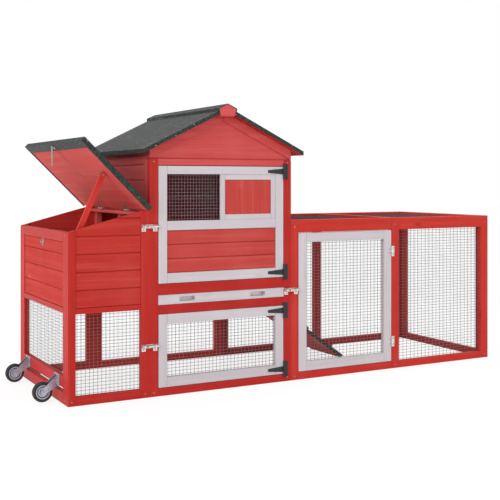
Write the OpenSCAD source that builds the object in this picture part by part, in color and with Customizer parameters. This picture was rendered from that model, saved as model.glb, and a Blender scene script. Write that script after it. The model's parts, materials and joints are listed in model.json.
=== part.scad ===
// Movable chicken coop: a nest box, a raised house over a lower pen, and a wire run, on two end wheels.
// X runs from the nest box to the run, Y from the front to the rear, and Z up from the ground.

/* [Overall] */
// Front to back, over the wall panels
depth = 652; // [560:2:760]
// Length of the nest box section
nest_len = 321; // [290:1:380]
// Length of the house section
house_len = 630; // [560:1:760]
// Length of the run section
run_len = 1079; // [960:1:1300]

/* [Timber] */
// Thickness of the panel timbers, across the wall
frame_t = 22; // [18:0.5:28]
// Width of the timbers at the ends of the cross panels
strip_w = 38; // [30:1:46]
// Thickness of the wall planks
plank_t = 12; // [9:0.5:14]
// Height of one plank
plank_w = 66; // [56:1:76]
// Depth of the groove between two planks
plank_groove = 2.5; // [1:0.25:3]
// Set-back of the planks behind the face of their frame
plank_recess = 3; // [1:0.5:5]
// Gap at the joints between the timbers of one panel
joint_gap = 0.3; // [0.2:0.1:0.5]

/* [Nest box] */
// Width of the nest box's outer side posts
nest_post_w = 30; // [24:1:40]
// Width of the posts where two sections meet
meet_post_w = 35; // [28:1:42]
// Height of the ground rail along the nest box's sides
nest_ground_h = 34; // [26:1:42]
// Underside of the rail that carries the nest box
nest_rail_z = 336; // [300:1:360]
// Height of the rail that carries the nest box
nest_rail_h = 20; // [18:1:30]
// Wall height at the outer end of the nest box
nest_low_h = 637; // [600:1:660]
// Wall height where the nest box meets the house
nest_high_h = 720; // [700:1:740]
// Height of the rail along the top of the end wall
end_top_h = 36; // [28:1:44]
// Height of the ground rail under the end wall
end_ground_h = 42; // [34:1:50]
// Underside of the rail that carries the wheels
wheel_rail_z = 60; // [54:1:66]
// Height of the rail that carries the wheels
wheel_rail_h = 42; // [36:1:48]
// Thickness of the nest box's floor
nest_floor_t = 10; // [8:0.5:14]
// Thickness of the board between the two nests
divider_t = 12; // [9:0.5:16]
// Height of the board between the two nests
divider_h = 130; // [100:1:160]

/* [House] */
// Height of the ground rails under the house
house_ground_h = 30; // [24:1:38]
// Height of the opening behind the lower door
pen_h = 285; // [260:1:300]
// Height of the rail under the tray
sill_h = 34; // [28:1:40]
// Height of the tray's slot
tray_h = 39; // [32:1:44]
// Height of the rail over the tray
door_rail_h = 41; // [34:1:48]
// Height of the opening behind the upper door
door_h = 457; // [430:1:480]
// Height of the rail over the upper door
header_h = 26; // [20:1:32]
// Height of the sill between nest box and house
nest_sill_h = 58; // [48:1:70]
// Height of the rail that carries the nest lid's hinges
hinge_rail_h = 14; // [12:1:28]
// Width of the post between the two ways into the nests
nest_stile_w = 36; // [28:1:44]
// Plank rows that the hole into the run takes up
hole_rows = 3; // [2:1:3]
// Width of the hole into the run
hole_w = 257; // [220:1:280]
// Middle of the hole and the ramp, behind the centre line
hole_y = 112; // [100:1:120]
// Side of the square perches
perch_w = 28; // [22:1:32]
// Distance between the two perches
perch_gap = 130; // [110:1:150]

/* [Roof] */
// Slope of the roof, in degrees
roof_pitch = 26; // [24:0.1:27]
// Roof's reach past the house's side walls
eave_reach = 36; // [28:1:44]
// Roof's reach past the front and rear walls
gable_reach = 34; // [26:1:44]
// Thickness of the roof boards
deck_t = 12; // [10:0.5:14]
// Thickness of the roofing felt
felt_t = 2.5; // [1.5:0.25:3]
// Width of the ridge beam at its shoulders
ridge_w = 76; // [70:1:84]
// Width of the ridge beam at its base
ridge_base_w = 58; // [52:1:64]
// Depth of the ridge beam's base under the top of the felt
ridge_sink = 40; // [38:0.5:42]
// Height of the ridge beam's leaning sides
ridge_side_h = 30; // [26:1:34]
// Height of the ridge beam's peak over its shoulders
ridge_peak_h = 18; // [14:1:22]
// Reach of the ridge beam past the roof's front and rear edges
ridge_reach = 5; // [2:0.5:8]
// Width of the boards along the gables' slopes
barge_w = 34; // [26:1:40]
// Thickness of the boards along the gables' slopes
barge_t = 8; // [6:0.5:10]

/* [Doors] */
// Gap round each door
door_gap = 2; // [1.5:0.25:3]
// Width of the doors' upright timbers
stile_w = 36; // [30:1:42]
// Height of the doors' top and bottom rails
door_top_h = 32; // [28:1:40]
// Height of the upper door's bottom rail
door_bottom_h = 39; // [32:1:46]
// Height of the rail between window and planks
door_mid_h = 36; // [30:1:42]
// Height of the upper door's window
window_h = 181; // [160:1:190]
// Height of the lower door's rails
pen_rail_h = 38; // [32:1:44]
// Width of the run door's timbers
run_door_w = 39; // [34:1:44]
// Width of the sliding shutter
shutter_w = 253; // [240:1:262]
// Thickness of the sliding shutter
shutter_t = 8; // [6:0.5:9]
// Width of the shutter's white frame
shutter_rim = 21; // [18:1:26]
// Depth of the grooves that the shutter slides in
groove_depth = 6; // [4:0.5:8]
// Play between the shutter and its grooves
groove_play = 0.5; // [0.3:0.1:0.8]

/* [Run] */
// Height of the run's wall panels
run_h = 647; // [620:1:670]
// Height of the run's ground rails
run_ground_h = 31; // [26:1:38]
// Height of the run's top rails
run_top_h = 36; // [30:1:42]
// Width of the middle and outer posts of the run
run_post_w = 40; // [34:1:46]
// Width of the run's door opening
run_door_len = 483; // [440:1:520]
// Thickness of the frame on top of the run
top_frame_t = 17; // [14:0.5:20]
// Width of the timbers on top of the run
top_bar_w = 38; // [32:1:44]

/* [Wire mesh] */
// Distance between the wires, drawn coarse
net_pitch = 34; // [32:1:40]
// Thickness of the wires
wire_t = 2; // [1.5:0.25:2.5]

/* [Tray] */
// Thickness of the tray's sheet walls
pan_t = 1.5; // [1:0.25:2]
// Depth of the tray, front to back
pan_depth = 570; // [500:1:580]
// Width of the runners under the tray
runner_w = 30; // [24:1:36]
// Height of the runners under the tray
runner_h = 16; // [12:1:20]
// Length of each finger pull
pull_len = 70; // [60:1:80]
// Height of each finger pull
pull_h = 18; // [14:1:22]
// Distance of each finger pull from the middle
pull_offset = 157; // [140:1:175]
// Play round the tray
tray_play = 1; // [0.5:0.25:1.5]

/* [Nest lid] */
// Length of the lid from its hinge to its free edge
lid_len = 370; // [350:1:390]
// Width of the lid, front to back
lid_w = 756; // [720:2:780]
// Thickness of the lid board
lid_t = 14; // [12:0.5:16]
// Angle of the propped lid over the level, in degrees
lid_open = 44.5; // [40:0.5:48]
// Distance of the lid's hinge from the house wall
lid_hinge_out = 24; // [23:0.5:28]
// Room between the shut lid and the walls under it
lid_seat_gap = 1; // [0.75:0.25:2]
// Felt turned under the lid's free edge
hem_free = 35; // [30:1:40]
// Felt turned under the lid's sides
hem_side = 11; // [8:1:14]
// Length of the prop under the lid
prop_len = 246; // [236:1:252]
// Width of the prop
prop_w = 20; // [16:1:24]
// Thickness of the prop
prop_t = 10; // [8:0.5:11]
// Distance of the prop's pivot from the lid's hinge
prop_at = 206; // [195:1:215]
// Lean of the prop from the upright, in degrees
prop_lean = 24.4; // [22:0.2:26]
// Length of the hasp's strap
hasp_len = 76; // [66:1:84]
// Width of the hasp's strap
hasp_w = 18; // [16:1:24]
// Height of the hasp's staple over the ground
staple_z = 586; // [575:1:600]

/* [Hinges and bolts] */
// Radius of the hinges' knuckles
knuckle_r = 4; // [3.5:0.1:5]
// Radius of the hinge pins
pin_r = 2; // [1.5:0.1:2.5]
// Running clearance round pins, rods and axles
run_clear = 0.05; // [0.03:0.01:0.08]
// Thickness of the hinge leaves
leaf_t = 2; // [1.5:0.1:2.5]
// Length of the tapered hinge straps
strap_len = 74; // [64:1:84]
// Height of a strap at its knuckle
strap_root_h = 24; // [20:1:28]
// Height of a strap at its tip
strap_tip_h = 11; // [8:1:14]
// Width of the strap hinges' plates
plate_w = 19; // [16:1:24]
// Height of the strap hinges' plates
plate_h = 64; // [56:1:72]
// Distance of a strap hinge from the end of its door
strap_inset = 20; // [14:1:26]
// Width of the butt hinges' leaves
butt_w = 14; // [12:1:18]
// Height of the butt hinges
butt_h = 45; // [38:1:52]
// Height of the lower run door hinge
butt_low_z = 120; // [110:1:140]
// Height of the upper run door hinge
butt_high_z = 517; // [490:1:530]
// Length of the bolts' base plates
bolt_len = 64; // [58:1:70]
// Reach of the bolts' two feet below the rod
bolt_drop = 19; // [15:0.5:24]
// Width of each foot
bolt_foot_w = 17; // [14:0.5:20]
// Thickness of the bolts' base plates
bolt_plate_t = 1.5; // [1:0.25:2]
// Radius of the bolts' rods
rod_r = 4; // [3.5:0.1:4.5]
// Radius of the bolts' guides
guide_r = 7; // [6.5:0.1:8]
// Width of one guide
guide_w = 9; // [7:0.5:11]
// Distance of the rods from the face of the frame
rod_rise = 8.5; // [8:0.25:10]
// Height of the upper door's bolt
upper_bolt_z = 652; // [630:1:670]
// Height of the lower door's bolt
lower_bolt_z = 196; // [180:1:210]
// Height of the run door's bolt
run_bolt_z = 376; // [360:1:390]

/* [Ramp] */
// Room between the ramp's foot and the ground
ramp_foot_gap = 3; // [2:0.5:8]
// Slope of the ramp, in degrees
ramp_pitch = 35; // [34:0.2:36]
// Thickness of the ramp's board
ramp_t = 13; // [10:0.5:14]
// Width of the ramp's treads
tread_w = 18; // [14:1:22]
// Height of the ramp's treads
tread_h = 10; // [8:0.5:12]
// Number of treads
tread_count = 6; // [4:1:7]
// Start of the ramp's board past its hinge
ramp_start = 16; // [14.5:0.5:20]

/* [Wheels] */
// Diameter of the wheels
wheel_d = 75; // [70:1:80]
// Width of the wheels
wheel_w = 22; // [18:0.5:24]
// Height of the tyre's rubber
tyre_h = 11; // [8:0.5:14]
// Distance of each wheel from the centre line
wheel_y = 198; // [180:1:215]
// Distance of the axle from the end wall
axle_out = 58; // [54:0.5:62]
// Radius of the axle
axle_r = 4; // [3:0.25:5]
// Thickness of the wheel brackets' sheet
bracket_t = 2.5; // [2:0.25:3]
// Play between the wheel and its bracket, on each side
wheel_play = 1; // [0.5:0.25:1.5]

/* [Hidden] */
$fn = 48;
over = 5;
red = "#c2453e";
dark_red = "#a83a34";
white = "#d3cfd2";
felt = "#5b5f5d";
black = "#2c3030";
steel = "#c9c8c4";
rubber = "#262224";
grey = "#aaa6b0";

// Places along the coop
house_x = nest_len;
run_x = house_x + house_len;
end_x = run_x + run_len;
house_mid_x = house_x + house_len / 2;
axle_x = -axle_out;
mid_x = (end_x + axle_x - wheel_d / 2) / 2;
front_y = -depth / 2;
inner_y = front_y + frame_t;
strip_y = inner_y + strip_w;

// Heights of the house front, from the ground up
pen_z = house_ground_h;
sill_z = pen_z + pen_h;
tray_z = sill_z + sill_h;
door_rail_z = tray_z + tray_h;
door_z = door_rail_z + door_rail_h;
header_z = door_z + door_h;
gable_z = header_z + header_h;

// Nest box
nest_floor_z = nest_rail_z + nest_rail_h;
nest_slope = (nest_high_h - nest_low_h) / nest_len;
nest_angle = atan(nest_slope);

// Roof: the boards along the gables' slopes run out at the gable's foot
barge_drop = barge_w / cos(roof_pitch);
eave_wall_z = gable_z + barge_drop;
roof_slope = tan(roof_pitch);
half_span = house_len / 2 + eave_reach;
under_mid_z = eave_wall_z + roof_slope * house_len / 2;
deck_rise = deck_t / cos(roof_pitch);
felt_rise = felt_t / cos(roof_pitch);
roof_top_z = under_mid_z + deck_rise + felt_rise;
ridge_base_z = roof_top_z - ridge_sink;
ridge_shoulder_z = ridge_base_z + ridge_side_h;
ridge_top_z = ridge_shoulder_z + ridge_peak_h;
roof_depth = depth + 2 * gable_reach;

// Doors
door_x0 = house_x + meet_post_w;
door_x1 = run_x - meet_post_w;
window_z = header_z - door_gap - door_top_h - window_h;
window_x0 = door_x0 + door_gap + stile_w;
window_x1 = door_x1 - door_gap - stile_w;
run_door_x0 = run_x + meet_post_w;
run_door_x1 = run_door_x0 + run_door_len;
run_top_z = run_h - run_top_h;
hinge_rise = knuckle_r + joint_gap;

// Lid hinge: the shut lid lies just over the nest box's sloping walls
lid_hinge_x = house_x - lid_hinge_out;
lid_hinge_z = nest_top(lid_hinge_x) + (lid_seat_gap - hinge_rise) / cos(nest_angle);
lid_start = 3;
lid_hinge_share = 0.5;
prop_drop = prop_w / 2 + lid_start;
hasp_r = 3;
hasp_pin_r = 1.25;
hasp_t = 1.5;
hasp_in = 10;
hasp_leaf_len = 16;
hasp_drop = felt_t + hasp_r + joint_gap - hinge_rise;

// Ramp hinge
ramp_hinge_x = run_x + hinge_rise;
ramp_hinge_z = tray_z - knuckle_r - joint_gap;
ramp_hinge_share = 0.3;
ramp_deep = hinge_rise + felt_t + ramp_t;
ramp_len = (ramp_hinge_z - ramp_foot_gap - ramp_deep * cos(ramp_pitch)) / sin(ramp_pitch);

// Moves a piece from the nest box's end to the part's own origin
module place() {
    translate([-mid_x, 0, 0]) children();
}

module both_sides() {
    children();
    mirror([0, 1, 0]) children();
}

// A block between two places along each axis
module block(x, y, z) {
    translate([x[0], y[0], z[0]]) cube([x[1] - x[0], y[1] - y[0], z[1] - z[0]]);
}

// A timber of a front panel, in the plane of the wall
module front_bar(x, z) {
    block(x, [front_y, inner_y], z);
}

// A rail of a front panel, between two posts
module front_rail(x, z) {
    front_bar([x[0] + joint_gap, x[1] - joint_gap], z);
}

// An outline in X and Z, drawn out along Y
module prism_y(y, points) {
    translate([0, y[1], 0]) rotate([90, 0, 0]) linear_extrude(y[1] - y[0]) polygon(points);
}

// An outline in Y and Z, drawn out along X
module prism_x(x, points) {
    translate([x[0], 0, 0]) rotate([90, 0, 90]) linear_extrude(x[1] - x[0]) polygon(points);
}

// Cross-section of one plank: its outer edges are cut back so that two planks meet in a groove
function plank_outline(outer, inner, z) = let (cut = plank_groove * sign(inner - outer)) [
    [outer + cut, z[0]], [inner, z[0]], [inner, z[1]],
    [outer + cut, z[1]], [outer, z[1] - plank_groove], [outer, z[0] + plank_groove]
];

// Heights of a row of planks that fills a wall from low to high
function plank_rows(low, high) = let (
    count = max(round((high - low) / plank_w), 1), step = (high - low) / count
) [for (i = [0:count - 1]) [low + i * step + joint_gap / 2, low + (i + 1) * step - joint_gap / 2]];

// Heights of whole planks from low up, with a cut one at the top
cut_share = 0.25;
function cut_rows(low, high) = let (count = ceil((high - low) / plank_w - cut_share)) [
    for (i = [0:count - 1]) [
        low + i * plank_w + joint_gap / 2, (i == count - 1 ? high : low + (i + 1) * plank_w) - joint_gap / 2
    ]
];

module planks_along_x(x, outer, inner, rows) {
    for (z = rows) prism_x([x[0] + joint_gap, x[1] - joint_gap], plank_outline(outer, inner, z));
}

module planks_along_y(y, outer, inner, rows) {
    for (z = rows) prism_y([y[0] + joint_gap, y[1] - joint_gap], plank_outline(outer, inner, z));
}

// Welded wire mesh that fills a frame: one flat plate with a square gap between each pair of wires
module net(w, h) {
    cols = max(round(w / net_pitch), 1);
    rows = max(round(h / net_pitch), 1);
    step = [w / cols, h / rows];
    linear_extrude(wire_t, center = true) difference() {
        square([w, h]);
        for (i = [0:cols - 1], j = [0:rows - 1])
            translate([i * step[0] + wire_t / 2, j * step[1] + wire_t / 2])
                square([step[0] - wire_t, step[1] - wire_t]);
    }
}

module net_xz(x, z, y) {
    translate([x[0], y, z[0]]) rotate([90, 0, 0]) net(x[1] - x[0], z[1] - z[0]);
}

module net_yz(y, z, x) {
    translate([x, y[0], z[0]]) rotate([90, 0, 90]) net(y[1] - y[0], z[1] - z[0]);
}

module net_xy(x, y, z) {
    translate([x[0], y[0], z]) net(x[1] - x[0], y[1] - y[0]);
}

// Hinge with its pin along Z: the fixed leaf lies to +X, and both leaves lie on a face behind the pin
module hinge_fixed(leaf, tall, root) {
    gap = joint_gap;
    difference() {
        translate([0, hinge_rise - leaf_t, -tall / 2]) cube([leaf, leaf_t, tall]);
        cylinder(r = knuckle_r + gap, h = root + 2 * gap, center = true);
    }
    both_ends(tall, root + 2 * gap) cylinder(r = knuckle_r, h = (tall - root) / 2 - gap);
    cylinder(r = pin_r, h = tall, center = true);
}

module both_ends(tall, middle) {
    translate([0, 0, middle / 2]) children();
    translate([0, 0, -tall / 2]) children();
}

module hinge_moving(leaf, root, tip) {
    difference() {
        union() {
            cylinder(r = knuckle_r, h = root, center = true);
            translate([0, hinge_rise, 0]) rotate([90, 0, 0]) linear_extrude(leaf_t)
                polygon([[0, -root / 2], [-leaf, -tip / 2], [-leaf, tip / 2], [0, root / 2]]);
        }
        cylinder(r = pin_r + run_clear, h = root + 2 * over, center = true);
    }
}

// Door hinges, on the front face: the pin stands in the gap beside the door
function strap_heights(z) = [z[0] + door_gap + strap_inset, z[1] - door_gap - strap_inset];
upper_straps = strap_heights([door_z, header_z]);
lower_straps = strap_heights([pen_z, sill_z]);

module at_strap(z) {
    translate([door_x1 - door_gap / 2, front_y - hinge_rise, z]) children();
}

module at_run_hinge(z) {
    translate([run_door_x1 - door_gap / 2, front_y - hinge_rise, z]) children();
}

module door_straps(heights) {
    for (z = heights) at_strap(z) hinge_moving(strap_len, strap_root_h, strap_tip_h);
}

// Frame of the lid: X runs back from the free edge to the hinge, Z out of the lid's top
module at_lid() {
    translate([lid_hinge_x, 0, lid_hinge_z]) rotate([0, lid_open, 0]) children();
}

lid_hinge_y = lid_hinge_share * (depth / 2 - frame_t);

module at_lid_hinges() {
    both_sides() translate([0, lid_hinge_y, 0]) children();
}

// Turns a hinge's pin to lie along Y, with its leaves on a face under the pin or over it
module leaf_down() {
    rotate([-90, 0, 0]) children();
}

module leaf_up() {
    rotate([90, 0, 0]) children();
}

guide_inset = guide_w / 2;
knob_share = 0.75;
knob_r = rod_r * knob_share;
knob_len = 16;

// Barrel bolt on the front face, from its plate's left end: a strip behind the rod, with a foot at each end
module bolt_housing() {
    difference() {
        block([0, bolt_len], [-bolt_plate_t, 0], [-bolt_drop, guide_r]);
        block([bolt_foot_w, bolt_len - bolt_foot_w], [-over, over], [-bolt_drop - over, -guide_r]);
    }
    for (x = [guide_inset, bolt_len - guide_inset - guide_w]) translate([x, 0, 0]) difference() {
        union() {
            translate([0, -rod_rise, 0]) rotate([0, 90, 0]) cylinder(r = guide_r, h = guide_w);
            block([0, guide_w], [-rod_rise, -bolt_plate_t / 2], [-guide_r, guide_r]);
        }
        translate([-over, -rod_rise, 0]) rotate([0, 90, 0])
            cylinder(r = rod_r + run_clear, h = guide_w + 2 * over);
    }
}

module bolt_rod(reach) {
    translate([0, -rod_rise, 0]) rotate([0, 90, 0]) cylinder(r = rod_r, h = reach);
    translate([2 * guide_w + knob_r, -rod_rise, 0]) rotate([90, 0, 0]) cylinder(r = knob_r, h = knob_len);
}

module at_bolt(edge_x, z) {
    translate([edge_x - bolt_len - 2 * door_gap, front_y, z]) children();
}

bolt_reach = bolt_len + 2 * door_gap;

// Nest box
function nest_top(x) = nest_low_h + nest_slope * x;

module nest_wedge() {
    x = [-over, nest_len + over];
    prism_y([-depth, depth], [[x[0], -over], [x[1], -over], [x[1], nest_top(x[1])], [x[0], nest_top(x[0])]]);
}

end_top_z = nest_low_h - end_top_h;
end_rows = cut_rows(nest_floor_z, end_top_z);
nest_side_rows = cut_rows(nest_floor_z, nest_high_h);
nest_open_x = [nest_post_w, nest_len - meet_post_w];

module nest_end_frame() {
    rails_z = [
        [0, end_ground_h], [wheel_rail_z, wheel_rail_z + wheel_rail_h],
        [nest_rail_z, nest_floor_z], [end_top_z, nest_low_h]
    ];
    color(red) place() {
        both_sides() block([0, frame_t], [inner_y, strip_y], [0, nest_low_h]);
        for (z = rails_z)
            block([0, frame_t], [strip_y + joint_gap, -strip_y - joint_gap], z);
    }
}

module nest_end_planks() {
    color(red) place()
        planks_along_y([strip_y, -strip_y], plank_recess, plank_recess + plank_t, end_rows);
}

module nest_side_frames() {
    color(red) place() both_sides() {
        for (x = [[0, nest_post_w], [nest_len - meet_post_w, nest_len]])
            intersection() {
                front_bar(x, [0, nest_high_h]);
                nest_wedge();
            }
        front_rail(nest_open_x, [0, nest_ground_h]);
        front_rail(nest_open_x, [nest_rail_z, nest_floor_z]);
    }
}

module nest_side_planks() {
    color(red) place() both_sides() for (z = nest_side_rows) intersection() {
        planks_along_x(nest_open_x, front_y + plank_recess, front_y + plank_recess + plank_t, [z]);
        nest_wedge();
    }
}

module nest_mesh() {
    color(steel) place() {
        both_sides() net_xz(nest_open_x, [nest_ground_h, nest_rail_z], front_y + frame_t / 2);
        net_yz([strip_y, -strip_y], [wheel_rail_z + wheel_rail_h, nest_rail_z], frame_t / 2);
    }
}

module nest_boards() {
    color(dark_red) place() {
        block([frame_t, house_x], [inner_y, -inner_y], [nest_floor_z - nest_floor_t, nest_floor_z]);
        block([plank_recess + plank_t, house_x], [-divider_t / 2, divider_t / 2],
            [nest_floor_z + joint_gap, nest_floor_z + divider_h]);
    }
}

staple_w = 22;
staple_h = 26;
staple_t = 1.5;
staple_r = 8;
staple_wire = 2;

module hasp_staple() {
    color(steel) place() translate([plank_recess, 0, staple_z]) {
        block([-staple_t, 0], [-staple_w / 2, staple_w / 2], [-staple_h / 2, staple_h / 2]);
        translate([-staple_t / 2, 0, 0]) rotate([0, -90, 0]) rotate([90, 0, 0])
            rotate_extrude(angle = 180) translate([staple_r, 0]) circle(staple_wire);
    }
}

// House
module house_frame(rails) {
    front_bar([house_x, door_x0], [0, gable_z]);
    front_bar([door_x1, run_x], [0, gable_z]);
    for (z = rails) front_rail([door_x0, door_x1], z);
}

module house_front_frame() {
    color(red) place()
        house_frame([[0, pen_z], [sill_z, tray_z], [door_rail_z, door_z]]);
}

module house_rear_frame() {
    color(red) place() mirror([0, 1, 0]) house_frame([[0, pen_z], [sill_z, tray_z]]);
}

module house_rear_planks() {
    color(red) place() mirror([0, 1, 0]) planks_along_x([door_x0, door_x1],
        front_y + plank_recess, front_y + plank_recess + plank_t, plank_rows(tray_z, header_z));
}

module rear_mesh() {
    mid_y = front_y + frame_t / 2;
    color(steel) place() mirror([0, 1, 0]) {
        net_xz([door_x0, door_x1], [pen_z, sill_z], mid_y);
        for (x = [[run_door_x0, run_door_x1], [run_door_x1 + run_post_w, end_x - run_post_w]])
            net_xz(x, [run_ground_h, run_top_z], mid_y);
    }
}

// Posts at both ends of a house side wall, from the rail under the tray up
module side_posts(x) {
    both_sides() block(x, [inner_y, strip_y], [sill_z, eave_wall_z]);
}

nest_sill_z = nest_floor_z;
nest_way_z = nest_sill_z + nest_sill_h;
lid_batten_top = lid_hinge_z - hinge_rise;
hinge_rail_z = lid_batten_top - hinge_rail_h;

module house_left_wall() {
    wall_x = [house_x, house_x + frame_t];
    cross_y = [strip_y + joint_gap, -strip_y - joint_gap];
    stile_y = [-nest_stile_w / 2, nest_stile_w / 2];
    rail_z = [hinge_rail_z, lid_batten_top];
    color(red) place() {
        side_posts(wall_x);
        block(wall_x, cross_y, [nest_sill_z, nest_way_z]);
        block(wall_x, cross_y, rail_z);
        block(wall_x, stile_y, [nest_way_z + joint_gap, hinge_rail_z - joint_gap]);
        block([lid_hinge_x + knuckle_r, house_x - joint_gap], [inner_y, -inner_y], rail_z);
        planks_along_y([strip_y, -strip_y], house_x + plank_recess, house_x + plank_recess + plank_t,
            plank_rows(lid_batten_top, eave_wall_z));
    }
}

right_rows = plank_rows(tray_z, eave_wall_z);
hole_y0 = hole_y - hole_w / 2;
hole_y1 = hole_y + hole_w / 2;

module house_right_wall() {
    wall_x = [run_x - frame_t, run_x];
    outer = run_x - plank_recess;
    color(red) place() {
        side_posts(wall_x);
        block(wall_x, [strip_y + joint_gap, -strip_y - joint_gap], [sill_z, tray_z]);
        for (i = [0:len(right_rows) - 1])
            if (i >= 1 && i <= hole_rows) {
                planks_along_y([strip_y, hole_y0], outer, outer - plank_t, [right_rows[i]]);
                planks_along_y([hole_y1, -strip_y], outer, outer - plank_t, [right_rows[i]]);
            }
            else planks_along_y([strip_y, -strip_y], outer, outer - plank_t, [right_rows[i]]);
    }
}

module tray_runners() {
    color(dark_red) place() for (x = [house_x + frame_t, run_x - frame_t - runner_w])
        block([x, x + runner_w], [inner_y, -inner_y], [tray_z - runner_h, tray_z]);
}

perch_z = hinge_rail_z + (hinge_rail_h - perch_w) / 2;
perch_y = perch_gap / 2 + perch_w;

module perches() {
    color(dark_red) place() for (y = [perch_y, perch_y + perch_gap])
        block([house_x + frame_t, run_x - plank_recess - plank_t],
            [y - perch_w / 2, y + perch_w / 2], [perch_z, perch_z + perch_w]);
}

// Roof, seen from the front and centred on the house
function under_z(x) = under_mid_z - roof_slope * abs(x);

module at_ridge() {
    translate([house_mid_x, 0, 0]) children();
}

module both_slopes() {
    children();
    mirror([1, 0, 0]) children();
}

// One slope of the roof out to a reach, between two heights over its underside
module slope(reach, low, high, long) {
    prism_y([-long / 2, long / 2], [
        [0, under_z(0) + low], [reach, under_z(reach) + low],
        [reach, under_z(reach) + high], [0, under_z(0) + high]
    ]);
}

ridge_outline = [
    [-ridge_base_w / 2, ridge_base_z], [ridge_base_w / 2, ridge_base_z], [ridge_w / 2, ridge_shoulder_z],
    [0, ridge_top_z], [-ridge_w / 2, ridge_shoulder_z]
];

module ridge_cut() {
    prism_y([-depth, depth], ridge_outline);
}

module roof_deck() {
    color(dark_red) place() at_ridge() both_slopes() difference() {
        slope(half_span, 0, deck_rise, roof_depth);
        ridge_cut();
    }
}

ridge_depth = roof_depth + 2 * felt_t + 2 * ridge_reach;
ridge_cover_w = ridge_w + 2 * felt_t;
ridge_cover = [
    [-ridge_cover_w / 2, ridge_base_z], [ridge_cover_w / 2, ridge_base_z],
    [ridge_cover_w / 2, ridge_shoulder_z + felt_t], [0, ridge_top_z + felt_rise],
    [-ridge_cover_w / 2, ridge_shoulder_z + felt_t]
];

// Felt over both slopes, turned down at the eaves and the gables, and a strip wrapped over the ridge beam
module roof_felt() {
    color(felt) place() at_ridge() {
        both_slopes() difference() {
            slope(half_span + felt_t, 0, deck_rise + felt_rise, roof_depth + 2 * felt_t);
            slope(half_span, -over, deck_rise, roof_depth);
            ridge_cut();
        }
        difference() {
            prism_y([-ridge_depth / 2, ridge_depth / 2], ridge_cover);
            ridge_cut();
            both_slopes() slope(ridge_w, -ridge_sink, deck_rise + felt_rise + joint_gap, ridge_depth + over);
        }
    }
}

module ridge_beam() {
    color(red) place() at_ridge() prism_y([-ridge_depth / 2, ridge_depth / 2], ridge_outline);
}

gable_half = house_len / 2;

module barge_board() {
    difference() {
        prism_y([front_y, front_y + barge_t], [
            [joint_gap, under_z(joint_gap)], [gable_half, eave_wall_z], [gable_half, gable_z + joint_gap],
            [joint_gap, under_z(joint_gap) - barge_drop + joint_gap]
        ]);
        ridge_cut();
    }
}

module gables() {
    color(red) place() at_ridge() both_sides() {
        block([meet_post_w - gable_half + joint_gap, gable_half - meet_post_w - joint_gap],
            [front_y, inner_y], [header_z, gable_z]);
        difference() {
            prism_y([front_y + barge_t + joint_gap, inner_y], [
                [-gable_half, gable_z + joint_gap], [gable_half, gable_z + joint_gap], [gable_half, eave_wall_z],
                [0, under_mid_z], [-gable_half, eave_wall_z]
            ]);
            ridge_cut();
        }
        both_slopes() barge_board();
    }
}

// Run
mid_post_x = [run_door_x1, run_door_x1 + run_post_w];
end_post_x = [end_x - run_post_w, end_x];

module run_side_frame() {
    for (x = [[run_x, run_door_x0], mid_post_x, end_post_x]) front_bar(x, [0, run_h]);
    for (x = [[run_door_x0, mid_post_x[0]], [mid_post_x[1], end_post_x[0]]]) {
        front_rail(x, [0, run_ground_h]);
        front_rail(x, [run_top_z, run_h]);
    }
}

module run_front_frame() {
    color(red) place() run_side_frame();
}

module run_rear_frame() {
    color(red) place() mirror([0, 1, 0]) run_side_frame();
}

module run_end_frame() {
    wall_x = [end_x - frame_t, end_x];
    color(red) place() {
        both_sides() block(wall_x, [inner_y, strip_y], [0, run_h]);
        for (z = [[0, run_ground_h], [run_top_z, run_h]])
            block(wall_x, [strip_y + joint_gap, -strip_y - joint_gap], z);
    }
}

top_z = [run_h, run_h + top_frame_t];
top_bars_x = [
    [run_x, run_x + meet_post_w], [mid_post_x[0], mid_post_x[0] + top_bar_w], [end_x - top_bar_w, end_x]
];
top_cross_y = front_y + top_bar_w;

module run_roof_frame() {
    color(red) place() {
        both_sides() block([run_x, end_x], [front_y, top_cross_y], top_z);
        for (x = top_bars_x) block(x, [top_cross_y + joint_gap, -top_cross_y - joint_gap], top_z);
    }
}

module run_front_mesh() {
    color(steel) place()
        net_xz([mid_post_x[1], end_post_x[0]], [run_ground_h, run_top_z], front_y + frame_t / 2);
}

module run_end_mesh() {
    color(steel) place() net_yz([strip_y, -strip_y], [run_ground_h, run_top_z], end_x - frame_t / 2);
}

module run_roof_mesh() {
    mid_z = run_h + top_frame_t / 2;
    color(steel) place() for (i = [0, 1])
        net_xy([top_bars_x[i][1], top_bars_x[i + 1][0]], [top_cross_y, -top_cross_y], mid_z);
}

// Wheels
fork_y = wheel_w / 2 + wheel_play;
axle_z = wheel_d / 2;
bracket_top_z = wheel_rail_z + wheel_rail_h;
ear_r = 11;
axle_head_r = 6.5;
axle_head_t = 3;
tyre_play = 0.2;
hub_r = wheel_d / 2 - tyre_h;

// Sheet ear of a wheel bracket: round at the axle, as tall as its plate at the wall
module ear() {
    rotate([90, 0, 0]) linear_extrude(bracket_t) difference() {
        union() {
            translate([axle_x, axle_z]) circle(ear_r);
            polygon([
                [axle_x - ear_r * sin(ear_tilt), axle_z + ear_r * cos(ear_tilt)], [0, bracket_top_z],
                [0, wheel_rail_z], [axle_x + ear_r * sin(ear_tilt), axle_z - ear_r * cos(ear_tilt)]
            ]);
        }
        translate([axle_x, axle_z]) circle(axle_r + run_clear);
    }
}

ear_tilt = atan((wheel_rail_z + wheel_rail_h / 2 - axle_z) / axle_out);
plate_flange = 14;

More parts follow.
